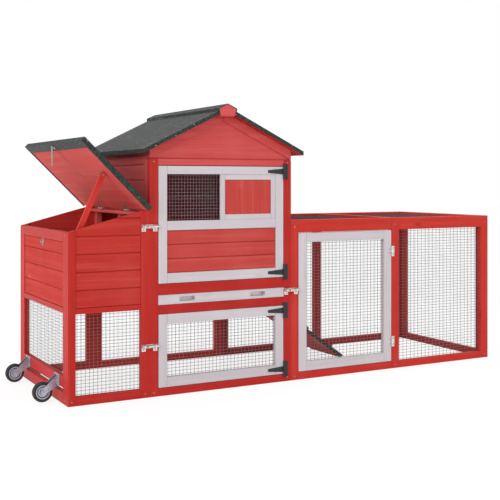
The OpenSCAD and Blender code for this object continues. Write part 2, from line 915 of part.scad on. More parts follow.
module wheel_brackets() {
    color(steel) place() both_sides() translate([0, -wheel_y, 0]) {
        for (y = [-fork_y, fork_y + bracket_t]) translate([0, y, 0]) ear();
        block([-bracket_t, 0], [-fork_y - bracket_t - plate_flange, fork_y + bracket_t + plate_flange],
            [wheel_rail_z, bracket_top_z]);
        translate([axle_x, 0, axle_z]) rotate([90, 0, 0]) {
            cylinder(r = axle_r, h = 2 * (fork_y + bracket_t + joint_gap), center = true);
            both_ends_of_axle() cylinder(r = axle_head_r, h = axle_head_t);
        }
    }
}

module both_ends_of_axle() {
    translate([0, 0, fork_y + bracket_t + joint_gap]) children();
    translate([0, 0, -fork_y - bracket_t - joint_gap - axle_head_t]) children();
}

module at_wheel(side) {
    place() translate([axle_x, side * wheel_y, axle_z]) rotate([90, 0, 0]) children();
}

tyre_round_share = 0.3;
hub_ring_shares = [0.45, 0.7];
hub_ring_depth = 2;

module tyre(side) {
    round_r = wheel_w * tyre_round_share;
    color(rubber) at_wheel(side) rotate_extrude() difference() {
        translate([hub_r + tyre_play, -wheel_w / 2]) square([tyre_h - tyre_play, wheel_w]);
        for (s = [-1, 1]) translate([wheel_d / 2 - round_r, s * (wheel_w / 2 - round_r)]) difference() {
            translate([0, s > 0 ? 0 : -round_r - over]) square([round_r + over, round_r + over]);
            circle(round_r);
        }
    }
}

module hub(side) {
    color(grey) at_wheel(side) rotate_extrude() difference() {
        translate([axle_r + run_clear, -wheel_w / 2]) square([hub_r - axle_r - run_clear, wheel_w]);
        for (s = [-1, 1])
            translate([hub_r * hub_ring_shares[0], s * wheel_w / 2 - hub_ring_depth])
                square([hub_r * (hub_ring_shares[1] - hub_ring_shares[0]), 2 * hub_ring_depth]);
    }
}

module front_tyre() { tyre(-1); }
module front_hub() { hub(-1); }
module rear_tyre() { tyre(1); }
module rear_hub() { hub(1); }

// Fixed hinge parts and bolts
module strap_hinge_plates() {
    color(black) place() for (z = concat(upper_straps, lower_straps))
        at_strap(z) hinge_fixed(plate_w, plate_h, strap_root_h);
}

butt_root = butt_h / 2;
butt_heights = [butt_low_z, butt_high_z];

module butt_hinge_leaves() {
    color(steel) place() {
        for (z = butt_heights) at_run_hinge(z) hinge_fixed(butt_w, butt_h, butt_root);
        translate([lid_hinge_x, 0, lid_hinge_z]) at_lid_hinges() leaf_down()
            hinge_fixed(lid_hinge_out - plank_recess, butt_h, butt_root);
        translate([ramp_hinge_x, hole_y, ramp_hinge_z]) at_ramp_hinges() rotate([0, 90, 0])
            leaf_down() hinge_fixed(butt_w, butt_h, butt_root);
    }
}

module bolt_housings() {
    color(steel) place() {
        at_bolt(door_x0, upper_bolt_z) bolt_housing();
        at_bolt(door_x0, lower_bolt_z) bolt_housing();
        at_bolt(run_door_x0, run_bolt_z) bolt_housing();
    }
}

module upper_bolt() { color(steel) place() at_bolt(door_x0, upper_bolt_z) bolt_rod(bolt_reach); }
module lower_bolt() { color(steel) place() at_bolt(door_x0, lower_bolt_z) bolt_rod(bolt_reach); }
module run_bolt() { color(steel) place() at_bolt(run_door_x0, run_bolt_z) bolt_rod(bolt_reach); }

// Doors
upper_x = [door_x0 + door_gap, door_x1 - door_gap];
upper_z = [door_z + door_gap, header_z - door_gap];
window_top_z = window_z + window_h;
door_mid_z = window_z - door_mid_h;
shutter_y = front_y + plank_recess;
shutter_x = [window_x1 - shutter_w, window_x1];

// Groove across the door for the shutter's top and bottom edges
module shutter_grooves() {
    block([window_x0, window_x1], [shutter_y - groove_play, shutter_y + shutter_t + groove_play],
        [window_z - groove_depth, window_top_z + groove_depth]);
}

module upper_door_frame() {
    rail_x = [window_x0, window_x1];
    color(white) place() {
        front_bar([upper_x[0], window_x0], upper_z);
        front_bar([window_x1, upper_x[1]], upper_z);
        difference() {
            front_rail(rail_x, [window_top_z, upper_z[1]]);
            shutter_grooves();
        }
        difference() {
            front_rail(rail_x, [door_mid_z, window_z]);
            shutter_grooves();
        }
        front_rail(rail_x, [upper_z[0], upper_z[0] + door_bottom_h]);
    }
}

module upper_door_planks() {
    color(red) place() planks_along_x([window_x0, window_x1], front_y + plank_recess,
        front_y + plank_recess + plank_t, plank_rows(upper_z[0] + door_bottom_h, door_mid_z));
}

module upper_door_mesh() {
    color(steel) place() net_xz([window_x0, window_x1], [window_z, window_top_z], inner_y - wire_t);
}

module upper_door_straps() { color(black) place() door_straps(upper_straps); }

shutter_z = [window_z - groove_depth + groove_play, window_top_z + groove_depth - groove_play];
panel_x = [shutter_x[0] + shutter_rim, shutter_x[1] - shutter_rim];
panel_z = [shutter_z[0] + shutter_rim + groove_depth, shutter_z[1] - shutter_rim - groove_depth];
panel_set_share = 0.25;

module shutter_frame() {
    deep = [shutter_y, shutter_y + shutter_t];
    color(white) place() {
        block([shutter_x[0], panel_x[0]], deep, shutter_z);
        block([panel_x[1], shutter_x[1]], deep, shutter_z);
        for (z = [[shutter_z[0], panel_z[0]], [panel_z[1], shutter_z[1]]])
            block([panel_x[0] + joint_gap, panel_x[1] - joint_gap], deep, z);
    }
}

module shutter_panel() {
    color(red) place()
        block(panel_x, [shutter_y + shutter_t * panel_set_share, shutter_y + shutter_t], panel_z);
}

module framed_door(x, z, side, rail) {
    open_x = [x[0] + side, x[1] - side];
    front_bar([x[0], open_x[0]], z);
    front_bar([open_x[1], x[1]], z);
    front_rail(open_x, [z[0], z[0] + rail]);
    front_rail(open_x, [z[1] - rail, z[1]]);
}

module door_net(x, z, side, rail) {
    net_xz([x[0] + side, x[1] - side], [z[0] + rail, z[1] - rail], front_y + frame_t / 2);
}

lower_z = [pen_z + door_gap, sill_z - door_gap];
run_door_x = [run_door_x0 + door_gap, run_door_x1 - door_gap];
run_door_z = [run_ground_h + door_gap, run_top_z - door_gap];

module lower_door_frame() { color(white) place() framed_door(upper_x, lower_z, stile_w, pen_rail_h); }
module lower_door_mesh() { color(steel) place() door_net(upper_x, lower_z, stile_w, pen_rail_h); }
module lower_door_straps() { color(black) place() door_straps(lower_straps); }
module run_door_frame() { color(white) place() framed_door(run_door_x, run_door_z, run_door_w, run_door_w); }
module run_door_mesh() { color(steel) place() door_net(run_door_x, run_door_z, run_door_w, run_door_w); }

module run_door_leaves() {
    color(steel) place() for (z = butt_heights) at_run_hinge(z) hinge_moving(butt_w, butt_root, butt_root);
}

// Tray
tray_box_z = [tray_z + tray_play, tray_z + tray_h - tray_play];
pan_x = [house_x + frame_t + tray_play + runner_w / 2, run_x - frame_t - tray_play - runner_w / 2];
pan_lip_share = 0.9;
pan_low_z = tray_z + joint_gap;

module tray_front() {
    color(white) place() difference() {
        front_bar([door_x0 + tray_play, door_x1 - tray_play], tray_box_z);
        for (s = [-1, 1])
            translate([house_mid_x + s * pull_offset, inner_y + over, (tray_box_z[0] + tray_box_z[1]) / 2])
                rotate([90, 0, 0]) linear_extrude(frame_t + 2 * over) pull_outline();
    }
}

// Slot with round ends
module pull_outline() {
    square([pull_len - pull_h, pull_h], center = true);
    for (s = [-1, 1]) translate([s * (pull_len - pull_h) / 2, 0]) circle(pull_h / 2);
}

module tray_pan() {
    high_z = pan_low_z + tray_h * pan_lip_share - tray_play;
    color(steel) place() difference() {
        block(pan_x, [inner_y, inner_y + pan_depth], [pan_low_z, high_z]);
        block([pan_x[0] + pan_t, pan_x[1] - pan_t], [inner_y + pan_t, inner_y + pan_depth - pan_t],
            [pan_low_z + pan_t, high_z + over]);
    }
}

// Nest lid, drawn along its own length and turned to its propped angle
lid_under = hinge_rise;
lid_x = [-lid_len, -lid_start];
lid_y = [-lid_w / 2, lid_w / 2];

module lid_board() {
    color(red) place() at_lid() block(lid_x, lid_y, [lid_under, lid_under + lid_t]);
}

module lid_felt() {
    color(felt) place() at_lid() difference() {
        block([lid_x[0] - felt_t, lid_x[1]], [lid_y[0] - felt_t, lid_y[1] + felt_t],
            [lid_under - felt_t, lid_under + lid_t + felt_t]);
        block([lid_x[0], lid_x[1] + over], lid_y, [lid_under, lid_under + lid_t]);
        block([lid_x[0] + hem_free, lid_x[1] + over], [lid_y[0] + hem_side, lid_y[1] - hem_side],
            [lid_under - felt_t - over, lid_under + over]);
    }
}

hasp_x = -lid_len + hasp_in;
prop_side_gap = 2;
prop_y = [inner_y + prop_side_gap, inner_y + prop_side_gap + prop_t];
prop_pin_r = 3;
prop_ear_t = 2;
prop_ear_w = 24;
prop_foot_w = 22;

// Metal on the lid: two hinge leaves, the hasp's leaf, and the bracket that the prop turns on
module lid_leaves() {
    color(steel) place() at_lid() {
        at_lid_hinges() leaf_up() hinge_moving(2 * butt_w, butt_root, butt_root);
        translate([hasp_x, 0, -hasp_drop]) hasp_leaf();
        prop_bracket();
    }
}

hasp_knuckle_share = 0.25;
hasp_knuckle = hasp_w * hasp_knuckle_share;
hasp_root = hasp_w - 2 * hasp_knuckle - joint_gap;

module hasp_leaf() {
    tall = hasp_r + joint_gap;
    difference() {
        block([0, hasp_leaf_len], [-hasp_w / 2, hasp_w / 2], [tall - hasp_t, tall]);
        rotate([90, 0, 0]) cylinder(r = hasp_r + joint_gap, h = hasp_root + 2 * joint_gap, center = true);
    }
    rotate([90, 0, 0]) {
        for (s = [-1, 1]) translate([0, 0, s * (hasp_w - hasp_knuckle) / 2])
            cylinder(r = hasp_r, h = hasp_knuckle - joint_gap, center = true);
        cylinder(r = hasp_pin_r, h = hasp_w - joint_gap, center = true);
    }
}

module prop_bracket() {
    ear_y = [prop_y[1] + prop_side_gap, prop_y[1] + prop_side_gap + prop_ear_t];
    ear_x = [-prop_at - prop_ear_w / 2, -prop_at + prop_ear_w / 2];
    block(ear_x, ear_y, [lid_under - prop_drop - prop_ear_w / 2, lid_under]);
    block(ear_x, [ear_y[0], ear_y[1] + prop_foot_w], [lid_under - prop_ear_t, lid_under]);
    translate([-prop_at, ear_y[1], lid_under - prop_drop]) rotate([90, 0, 0])
        cylinder(r = prop_pin_r, h = ear_y[1] - prop_y[0]);
}

// A point of the lid's own X and Z, in the coop's frame
function from_lid(x, z) = [
    lid_hinge_x + x * cos(lid_open) + z * sin(lid_open), 0,
    lid_hinge_z - x * sin(lid_open) + z * cos(lid_open)
];

module lid_prop() {
    color(red) place() translate(from_lid(-prop_at, lid_under - prop_drop)) rotate([0, prop_lean, 0])
        difference() {
            union() {
                block([-prop_w / 2, prop_w / 2], prop_y, [-prop_len, 0]);
                translate([0, prop_y[1], 0]) rotate([90, 0, 0]) cylinder(r = prop_w / 2, h = prop_t);
            }
            translate([0, prop_y[1] + over, 0]) rotate([90, 0, 0])
                cylinder(r = prop_pin_r + run_clear, h = prop_t + 2 * over);
        }
}

hasp_slot_share = 0.3;
hasp_slot_w = 6;

// The strap hangs plumb from its pin
module hasp_strap() {
    color(steel) place() translate(from_lid(hasp_x, -hasp_drop)) difference() {
        union() {
            rotate([90, 0, 0]) cylinder(r = hasp_r, h = hasp_root, center = true);
            block([-hasp_t / 2, hasp_t / 2], [-hasp_root / 2, hasp_root / 2], [-2 * hasp_r, 0]);
            block([-hasp_t / 2, hasp_t / 2], [-hasp_w / 2, hasp_w / 2], [-hasp_len, -hasp_r - 2 * joint_gap]);
        }
        rotate([90, 0, 0]) cylinder(r = hasp_pin_r + run_clear, h = hasp_w + over, center = true);
        block([-over, over], [-hasp_slot_w / 2, hasp_slot_w / 2],
            [-hasp_len + hasp_slot_w, -hasp_len + hasp_slot_w + hasp_len * hasp_slot_share]);
    }
}

// Ramp, drawn along its own length from the hinge and sloped down into the run
module at_ramp() {
    translate([ramp_hinge_x, hole_y, ramp_hinge_z]) rotate([0, ramp_pitch, 0]) children();
}

module at_ramp_hinges() {
    for (s = [-1, 1]) translate([0, s * hole_w * ramp_hinge_share, 0]) children();
}

ramp_top = -hinge_rise;
ramp_y = [-hole_w / 2, hole_w / 2];
ramp_x = [ramp_start, ramp_len];

module ramp_board() {
    color(red) place() at_ramp() block(ramp_x, ramp_y, [ramp_top - felt_t - ramp_t, ramp_top - felt_t]);
}

module ramp_felt() {
    color(felt) place() at_ramp() difference() {
        block([ramp_x[0], ramp_x[1] + felt_t], [ramp_y[0] - felt_t, ramp_y[1] + felt_t],
            [ramp_top - felt_t - ramp_t, ramp_top]);
        block([ramp_x[0] - over, ramp_x[1]], ramp_y, [ramp_top - felt_t - ramp_t - over, ramp_top - felt_t]);
    }
}

module ramp_treads() {
    step = (ramp_len - ramp_start) / (tread_count + 1);
    color(red) place() at_ramp() for (i = [1:tread_count])
        block([ramp_start + i * step - tread_w / 2, ramp_start + i * step + tread_w / 2],
            ramp_y, [ramp_top, ramp_top + tread_h]);
}

module ramp_leaves() {
    color(steel) place() at_ramp() at_ramp_hinges() mirror([1, 0, 0]) leaf_down()
        hinge_moving(2 * butt_w, butt_root, butt_root);
}

nest_end_frame();
nest_end_planks();
nest_side_frames();
nest_side_planks();
nest_mesh();
nest_boards();
hasp_staple();
house_front_frame();
house_rear_frame();
house_left_wall();
house_right_wall();
house_rear_planks();
rear_mesh();
gables();
roof_deck();
roof_felt();
ridge_beam();
tray_runners();
perches();
run_front_frame();
run_rear_frame();
run_end_frame();
run_roof_frame();
run_front_mesh();
run_end_mesh();
run_roof_mesh();
wheel_brackets();
strap_hinge_plates();
butt_hinge_leaves();
bolt_housings();
upper_door_frame();
upper_door_planks();
upper_door_mesh();
upper_door_straps();
shutter_frame();
shutter_panel();
lower_door_frame();
lower_door_mesh();
lower_door_straps();
run_door_frame();
run_door_mesh();
run_door_leaves();
tray_front();
tray_pan();
lid_board();
lid_felt();
lid_leaves();
hasp_strap();
lid_prop();
ramp_board();
ramp_felt();
ramp_treads();
ramp_leaves();
upper_bolt();
lower_bolt();
run_bolt();
front_tyre();
front_hub();
rear_tyre();
rear_hub();
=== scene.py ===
import bmesh
import bpy
import json
import math
import numpy as np
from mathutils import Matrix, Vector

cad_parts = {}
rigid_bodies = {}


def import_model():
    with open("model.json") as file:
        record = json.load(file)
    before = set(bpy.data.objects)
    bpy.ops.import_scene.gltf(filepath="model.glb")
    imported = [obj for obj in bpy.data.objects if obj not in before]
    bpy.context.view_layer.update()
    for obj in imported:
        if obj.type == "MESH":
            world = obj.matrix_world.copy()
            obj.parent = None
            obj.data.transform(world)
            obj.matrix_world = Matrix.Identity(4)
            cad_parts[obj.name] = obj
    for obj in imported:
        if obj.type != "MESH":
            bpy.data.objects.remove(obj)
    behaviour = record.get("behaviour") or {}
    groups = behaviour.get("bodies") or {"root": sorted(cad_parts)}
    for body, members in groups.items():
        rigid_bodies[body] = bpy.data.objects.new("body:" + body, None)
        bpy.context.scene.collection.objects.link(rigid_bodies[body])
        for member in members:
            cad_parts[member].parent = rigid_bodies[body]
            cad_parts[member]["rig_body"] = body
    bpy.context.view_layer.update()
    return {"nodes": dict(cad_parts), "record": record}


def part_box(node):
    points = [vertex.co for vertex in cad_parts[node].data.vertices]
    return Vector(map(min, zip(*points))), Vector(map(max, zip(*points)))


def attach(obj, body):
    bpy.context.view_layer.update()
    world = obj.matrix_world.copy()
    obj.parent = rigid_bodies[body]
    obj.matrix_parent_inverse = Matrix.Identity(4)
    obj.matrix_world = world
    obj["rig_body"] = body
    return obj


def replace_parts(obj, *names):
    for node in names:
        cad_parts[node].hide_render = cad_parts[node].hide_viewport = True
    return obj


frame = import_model()
rng = np.random.default_rng(seed=11)
mergeGap = 1e-5     # points of a node closer than this are one point, in metres
sameGap = 3e-5      # sections this close are the same
flatWithin = 1.0    # faces that differ by fewer degrees than this are one flat face
slopes = {"lid": 44.5, "prop": 24.4, "ramp": 35.0, "roof": 26.0}     # degrees, as the pieces stand at rest
print("frame loaded:", len(frame["nodes"]), "nodes")


# A value inside a finish. Each operator adds a Math node, so masks are written as sums.
class Value:
    def __init__(self, finish, socket):
        self.finish = finish
        self.socket = socket

    def math(self, operation, other=0.0):
        return self.finish.node("ShaderNodeMath", {"operation": operation}, {0: self, 1: other})

    def __add__(self, other):
        return self.math("ADD", other)

    def __sub__(self, other):
        return self.math("SUBTRACT", other)

    def __rsub__(self, other):
        return self.finish.node("ShaderNodeMath", {"operation": "SUBTRACT"}, {0: other, 1: self})

    def __mul__(self, other):
        return self.math("MULTIPLY", other)

    __radd__ = __add__
    __rmul__ = __mul__

    def rise(self, low, high):   # 0 up to low, 1 from high on, smooth between
        return self.finish.node("ShaderNodeMapRange", {"interpolation_type": "SMOOTHSTEP"},
                                {"Value": self, "From Min": low, "From Max": high})


# A material under construction: node() adds any node, and the rest are short ways to the common ones.
class Finish:
    def __init__(self, name):
        self.material = bpy.data.materials.new(name)
        self.material.use_nodes = True
        self.tree = self.material.node_tree
        self.surface = self.tree.nodes["Principled BSDF"]

    def feed(self, socket, value):
        if isinstance(value, Value):
            self.tree.links.new(value.socket, socket)
        else:
            socket.default_value = value

    def node(self, kind, settings=None, sockets=None, out=0):
        made = self.tree.nodes.new(kind)
        for key, value in (settings or {}).items():
            setattr(made, key, value)
        for key, value in (sockets or {}).items():
            self.feed(made.inputs[key], value)
        return Value(self, made.outputs[out])

    def set(self, **sockets):
        for name, value in sockets.items():
            self.feed(self.surface.inputs[name.replace("_", " ")], value)

    def place(self):
        return self.node("ShaderNodeTexCoord", out="Object")

    def stretch(self, vector, scale):
        return self.node("ShaderNodeMapping", None, {"Vector": vector, "Scale": scale})

    def noise(self, vector, scale=1.0, detail=3.0):
        return self.node("ShaderNodeTexNoise", None, {"Vector": vector, "Scale": scale, "Detail": detail})

    # Distance to the middle of the cell, and the cell's own random number
    def cells(self, vector, scale=1.0, dimensions="3D"):
        distance = self.node("ShaderNodeTexVoronoi", {"voronoi_dimensions": dimensions},
                             {"Vector": vector, "Scale": scale})
        colour = Value(self, distance.socket.node.outputs["Color"])
        return distance, self.node("ShaderNodeSeparateColor", None, {"Color": colour})

    # Colour mix: sockets 6 and 7 are the two colours, and 2 is the result
    def mix(self, share, first, second):
        return self.node("ShaderNodeMix", {"data_type": "RGBA"}, {0: share, 6: first, 7: second}, out=2)

    def attribute(self, name, out="Fac"):
        return self.node("ShaderNodeAttribute", {"attribute_name": name}, out=out)

    def bump(self, height, distance):
        self.set(Normal=self.node("ShaderNodeBump", None, {"Height": height, "Distance": distance}))


def paint(red, green, blue):     # screen colour, 0 to 255, to the linear colour that a shader takes
    share = np.array([red, green, blue]) / 255
    linear = np.where(share <= 0.04045, share / 12.92, ((share + 0.055) / 1.055) ** 2.4)
    return (*linear.tolist(), 1.0)


# Painted softwood. The grain runs along each board's own length (UV map "grain", in metres), and each board
# has its own tone. Edge is 0 in the middle of a board and 1 at its edges.
woodGrain = {
    "fibreScale": (5, 330, 1), "fibreDetail": 4.0, "fibreRise": (0.42, 0.72), "fibreHeight": 0.7,
    "ringScale": (1.6, 46, 1), "ringDetail": 2.0, "ringRise": (0.45, 0.75), "ringHeight": 0.5,
    "knotScale": (3.4, 9, 1), "knotCore": 0.03, "knotBlur": 0.02, "knotHeight": 0.6,
    "cloudScale": 6.0, "cloudRise": (0.4, 0.75), "edgeBase": 0.35, "edgeFibre": 0.9,
    "fibreRough": 0.16, "edgeRough": 0.06,
}


def paintedWood(name, look):
    f = Finish(name)
    grain = woodGrain
    lengthwise = f.node("ShaderNodeUVMap", {"uv_map": "grain"})
    board = f.node("ShaderNodeSeparateXYZ", None, {"Vector": f.attribute("board", "Vector")})
    offset, half, tone = (Value(f, board.socket.node.outputs[axis]) for axis in "XYZ")
    fibre = f.noise(f.stretch(lengthwise, grain["fibreScale"]), detail=grain["fibreDetail"])
    rings = f.noise(f.stretch(lengthwise, grain["ringScale"]), detail=grain["ringDetail"])
    cloud = f.noise(f.place(), grain["cloudScale"])
    core, pick = f.cells(f.stretch(lengthwise, grain["knotScale"]), dimensions="2D")
    knot = 1 - core.rise(grain["knotCore"], look["knotSize"])
    knot = knot * pick.rise(look["knotRare"], look["knotRare"] + grain["knotBlur"])
    edge = 1 - (half - offset.math("ABSOLUTE")).rise(0.0, look["edgeWidth"])
    rubbed = edge * (grain["edgeBase"] + fibre * grain["edgeFibre"])
    colour = f.mix(tone * look["toneSpread"], look["paint"], look["deep"])
    colour = f.mix(fibre.rise(*grain["fibreRise"]) * look["fibre"], colour, look["deep"])
    colour = f.mix(rings.rise(*grain["ringRise"]) * look["rings"], colour, look["pale"])
    colour = f.mix(cloud.rise(*grain["cloudRise"]) * look["cloud"], colour, look["pale"])
    colour = f.mix(knot * look["knot"], colour, look["knotTone"])
    colour = f.mix(rubbed * look["edge"], colour, look["edgeTone"])
    f.set(Base_Color=colour, Specular_IOR_Level=look["gloss"],
          Roughness=look["rough"] + fibre * grain["fibreRough"] - edge * grain["edgeRough"])
    height = fibre * grain["fibreHeight"] + rings * grain["ringHeight"] - knot * grain["knotHeight"]
    f.bump(height, look["relief"])
    return f.material


woodLooks = {
    "redPlank": {"paint": paint(204, 62, 55), "deep": paint(180, 43, 38), "pale": paint(217, 86, 78),
                 "knotTone": paint(226, 110, 98), "edgeTone": paint(150, 28, 26), "fibre": 0.5, "rings": 0.5,
                 "cloud": 0.3, "toneSpread": 0.42, "knot": 0.5, "knotSize": 0.11, "knotRare": 0.88,
                 "edge": 0.5, "edgeWidth": 0.004, "rough": 0.56, "relief": 0.0006, "gloss": 0.05},
    "redFrame": {"paint": paint(196, 48, 43), "deep": paint(174, 35, 31), "pale": paint(212, 70, 61),
                 "knotTone": paint(160, 30, 26), "edgeTone": paint(220, 84, 74), "fibre": 0.45, "rings": 0.4,
                 "cloud": 0.25, "toneSpread": 0.4, "knot": 0.45, "knotSize": 0.1, "knotRare": 0.9,
                 "edge": 0.35, "edgeWidth": 0.0022, "rough": 0.42, "relief": 0.0005, "gloss": 0.1},
    "redInner": {"paint": paint(190, 44, 42), "deep": paint(158, 32, 32), "pale": paint(206, 68, 60),
                 "knotTone": paint(104, 26, 22), "edgeTone": paint(120, 24, 24), "fibre": 0.6, "rings": 0.5,
                 "cloud": 0.3, "toneSpread": 0.5, "knot": 0.6, "knotSize": 0.14, "knotRare": 0.82,
                 "edge": 0.3, "edgeWidth": 0.003, "rough": 0.62, "relief": 0.0007, "gloss": 0.14},
    "whiteTrim": {"paint": paint(218, 210, 214), "deep": paint(200, 192, 198), "pale": paint(230, 224, 228),
                  "knotTone": paint(200, 188, 182), "edgeTone": paint(180, 172, 176), "fibre": 0.5,
                  "rings": 0.4, "cloud": 0.3, "toneSpread": 0.35, "knot": 0.4, "knotSize": 0.1,
                  "knotRare": 0.9, "edge": 0.4, "edgeWidth": 0.0022, "rough": 0.46, "relief": 0.0004,
                  "gloss": 0.35},
}
# The same paints in lit and shaded copies, as painted light and shade. A lighter copy for the run:
woodLooks["redRun"] = dict(woodLooks["redFrame"], paint=paint(212, 58, 50), deep=paint(192, 44, 38),
                           pale=paint(224, 80, 70))
# a darker copy, as painted shade, for the run's far frames;
woodLooks["redShade"] = dict(woodLooks["redFrame"], paint=paint(168, 40, 40), deep=paint(148, 30, 32),
                             pale=paint(184, 56, 54))
# and lighter copies, as painted light, for the front panels, lid and walls
woodLooks["redPanel"] = dict(woodLooks["redPlank"], paint=paint(206, 77, 71), deep=paint(188, 59, 54),
                             pale=paint(220, 101, 95), knot=0.3)
woodLooks["redLid"] = dict(woodLooks["redPlank"], paint=paint(226, 94, 89), deep=paint(210, 75, 71),
                           pale=paint(234, 114, 109), knot=0.3)
woodLooks["redWall"] = dict(woodLooks["redPlank"], paint=paint(218, 86, 84), deep=paint(200, 68, 67),
                            pale=paint(228, 106, 104), gloss=0.2)
wood = {name: paintedWood(name, look) for name, look in woodLooks.items()}


# Mineral felt: grey grit on top, and darker and smoother where the sheet is turned down or under (attribute
# "hem")
feltGrain = {
    "grit": {"scale": 420.0, "detail": 2.0, "rise": (0.35, 0.68)},
    "fleck": {"scale": 231.0, "detail": 1.0, "rise": (0.66, 0.74), "share": 0.6},
    "mottle": {"scale": 130.0, "detail": 3.0, "rise": (0.44, 0.62), "share": 0.75},
    "worn": {"scale": 9.0, "detail": 4.0, "rise": (0.5, 0.8), "share": 0.35, "height": 1.5},
    "speck": {"scale": 170.0, "rise": (0.2, 0.42), "rare": (0.95, 0.96)},
    "hem": {"mottleRise": (0.4, 0.64), "fleckRise": (0.68, 0.74), "fleckShare": 0.4, "smoother": 0.14},
    "rough": 0.86, "gritRough": 0.1, "relief": 0.0007,
}
feltTones = {"dark": paint(38, 41, 40), "grey": paint(108, 110, 109), "fleck": paint(146, 148, 145),
             "pale": paint(102, 103, 101), "hemDark": paint(22, 29, 26), "hemTone": paint(50, 61, 56),
             "speck": paint(196, 198, 194)}


def mineralFelt(grain, tones):
    f = Finish("mineralFelt")
    spot = f.place()
    grit, fleck, mottle, worn = (f.noise(spot, grain[layer]["scale"], grain[layer]["detail"])
                                 for layer in ("grit", "fleck", "mottle", "worn"))
    hem = f.attribute("hem")
    core, pick = f.cells(spot, grain["speck"]["scale"])
    speck = (1 - core.rise(*grain["speck"]["rise"])) * pick.rise(*grain["speck"]["rare"])
    top = f.mix(grit.rise(*grain["grit"]["rise"]), tones["dark"], tones["grey"])
    top = f.mix(mottle.rise(*grain["mottle"]["rise"]) * grain["mottle"]["share"], top, tones["dark"])
    top = f.mix(fleck.rise(*grain["fleck"]["rise"]) * grain["fleck"]["share"], top, tones["fleck"])
    top = f.mix(worn.rise(*grain["worn"]["rise"]) * grain["worn"]["share"], top, tones["pale"])
    hemLayer = grain["hem"]
    folded = f.mix(mottle.rise(*hemLayer["mottleRise"]), tones["hemDark"], tones["hemTone"])
    folded = f.mix(fleck.rise(*hemLayer["fleckRise"]) * hemLayer["fleckShare"], folded, tones["fleck"])
    colour = f.mix(speck, f.mix(hem, top, folded), tones["speck"])
    f.set(Base_Color=colour, Roughness=grain["rough"] + grit * grain["gritRough"] - hem * hemLayer["smoother"])
    f.bump(grit + worn * grain["worn"]["height"], grain["relief"])
    return f.material


felt = mineralFelt(feltGrain, feltTones)


# Metal: a base tone clouded by a fine noise and by patches, such as the spangle of zinc. Rubber and the hubs'
# plastic are made the same way, and where a look asks for it, painted shade darkens the sunk parts (attribute
# "groove").
metalGrain = {"fineRise": (0.3, 0.75), "fineRough": 0.2, "patchRough": 0.06, "sunkShadeBase": 0.7,
              "sunkShadeFine": 0.3}


def metal(name, tone, dull, bright, look):
    f = Finish(name)
    grain = metalGrain
    spot = f.place()
    fine = f.noise(spot, look["fineScale"])
    patch = f.cells(spot, look["patchScale"])[1]
    colour = f.mix(fine.rise(*grain["fineRise"]) * look["fine"], paint(*tone), paint(*dull))
    colour = f.mix(patch * look["patch"], colour, paint(*bright))
    # painted shade: the sunk parts darkened
    if "sunkShade" in look:
        sunkShade = f.attribute("groove") * (grain["sunkShadeBase"] + fine * grain["sunkShadeFine"])
        colour = f.mix(sunkShade, colour, look["sunkShade"])
    f.set(Base_Color=colour, Metallic=look["metallic"], Specular_IOR_Level=look["gloss"],
          Roughness=look["rough"] + fine * grain["fineRough"] - patch * grain["patchRough"])
    f.bump(fine, look["relief"])
    return f.material


plated = {"fineScale": 420.0, "patchScale": 160.0, "fine": 0.6, "patch": 0.5, "metallic": 0.85, "rough": 0.26,
          "relief": 0.0001, "gloss": 0.5}
drawn = dict(plated, fineScale=260.0, patchScale=90.0, fine=0.7, patch=0.4, metallic=0.45, rough=0.4)
coated = {"fineScale": 700.0, "patchScale": 220.0, "fine": 0.6, "patch": 0.3, "metallic": 0.0, "rough": 0.38,
          "relief": 0.0002, "gloss": 0.3}
# the hubs' plastic, with a dark colour for the painted shade in its sunk parts
moulded = dict(coated, fineScale=500.0, patchScale=140.0, fine=0.5, metallic=0.15, rough=0.34, relief=0.0001,
               gloss=0.5, sunkShade=paint(46, 44, 50))

zinc = metal("zincSteel", (200, 198, 194), (158, 156, 154), (226, 224, 220), plated)
forkZinc = metal("forkZinc", (164, 169, 182), (124, 129, 142), (204, 208, 219), dict(plated, rough=0.3))
agedZinc = metal("agedZinc", (158, 148, 138), (120, 112, 104), (190, 181, 170),
                 dict(drawn, fineScale=380.0, patchScale=140.0, metallic=0.6))
# a paler copy of zinc for the tray pan, as painted light: the pan lies in shade behind the tray front's slots
panZinc = metal("panZinc", (222, 220, 223), (198, 196, 199), (234, 232, 235),
                dict(drawn, patchScale=60.0, fine=0.5, patch=0.5, metallic=0.2))
# Galvanised wire, and copies of it: paler ones as painted light (far panels, window), a dark red one as
# painted shade
wireZinc = metal("wireZinc", (104, 107, 107), (82, 85, 85), (132, 135, 135), drawn)
paleZinc = metal("paleZinc", (206, 208, 208), (184, 187, 187), (224, 226, 226),
                 dict(drawn, fine=0.6, metallic=0.2))
# the dark red copy stands in for the shaded red frame seen through the run's roof: painted shade
roofWire = metal("roofWire", (112, 72, 70), (84, 52, 50), (140, 100, 97),
                 dict(drawn, metallic=0.3, rough=0.5, gloss=0.2))
# the window's pale lilac copy: painted light, lit wires with a reddish glow
windowWire = metal("windowWire", (172, 164, 172), (136, 128, 136), (198, 190, 198),
                   dict(drawn, fine=0.6, metallic=0.2))
iron = metal("blackIron", (40, 45, 46), (26, 30, 31), (58, 63, 64), coated)
rubber = metal("tyreRubber", (40, 36, 38), (26, 23, 25), (58, 54, 56),
               dict(coated, fineScale=900.0, patchScale=120.0, rough=0.62, relief=0.0003, gloss=0.5))
hubGrey = metal("hubGrey", (184, 190, 206), (148, 153, 168), (206, 212, 226), moulded)
print("finishes made:", len(bpy.data.materials))


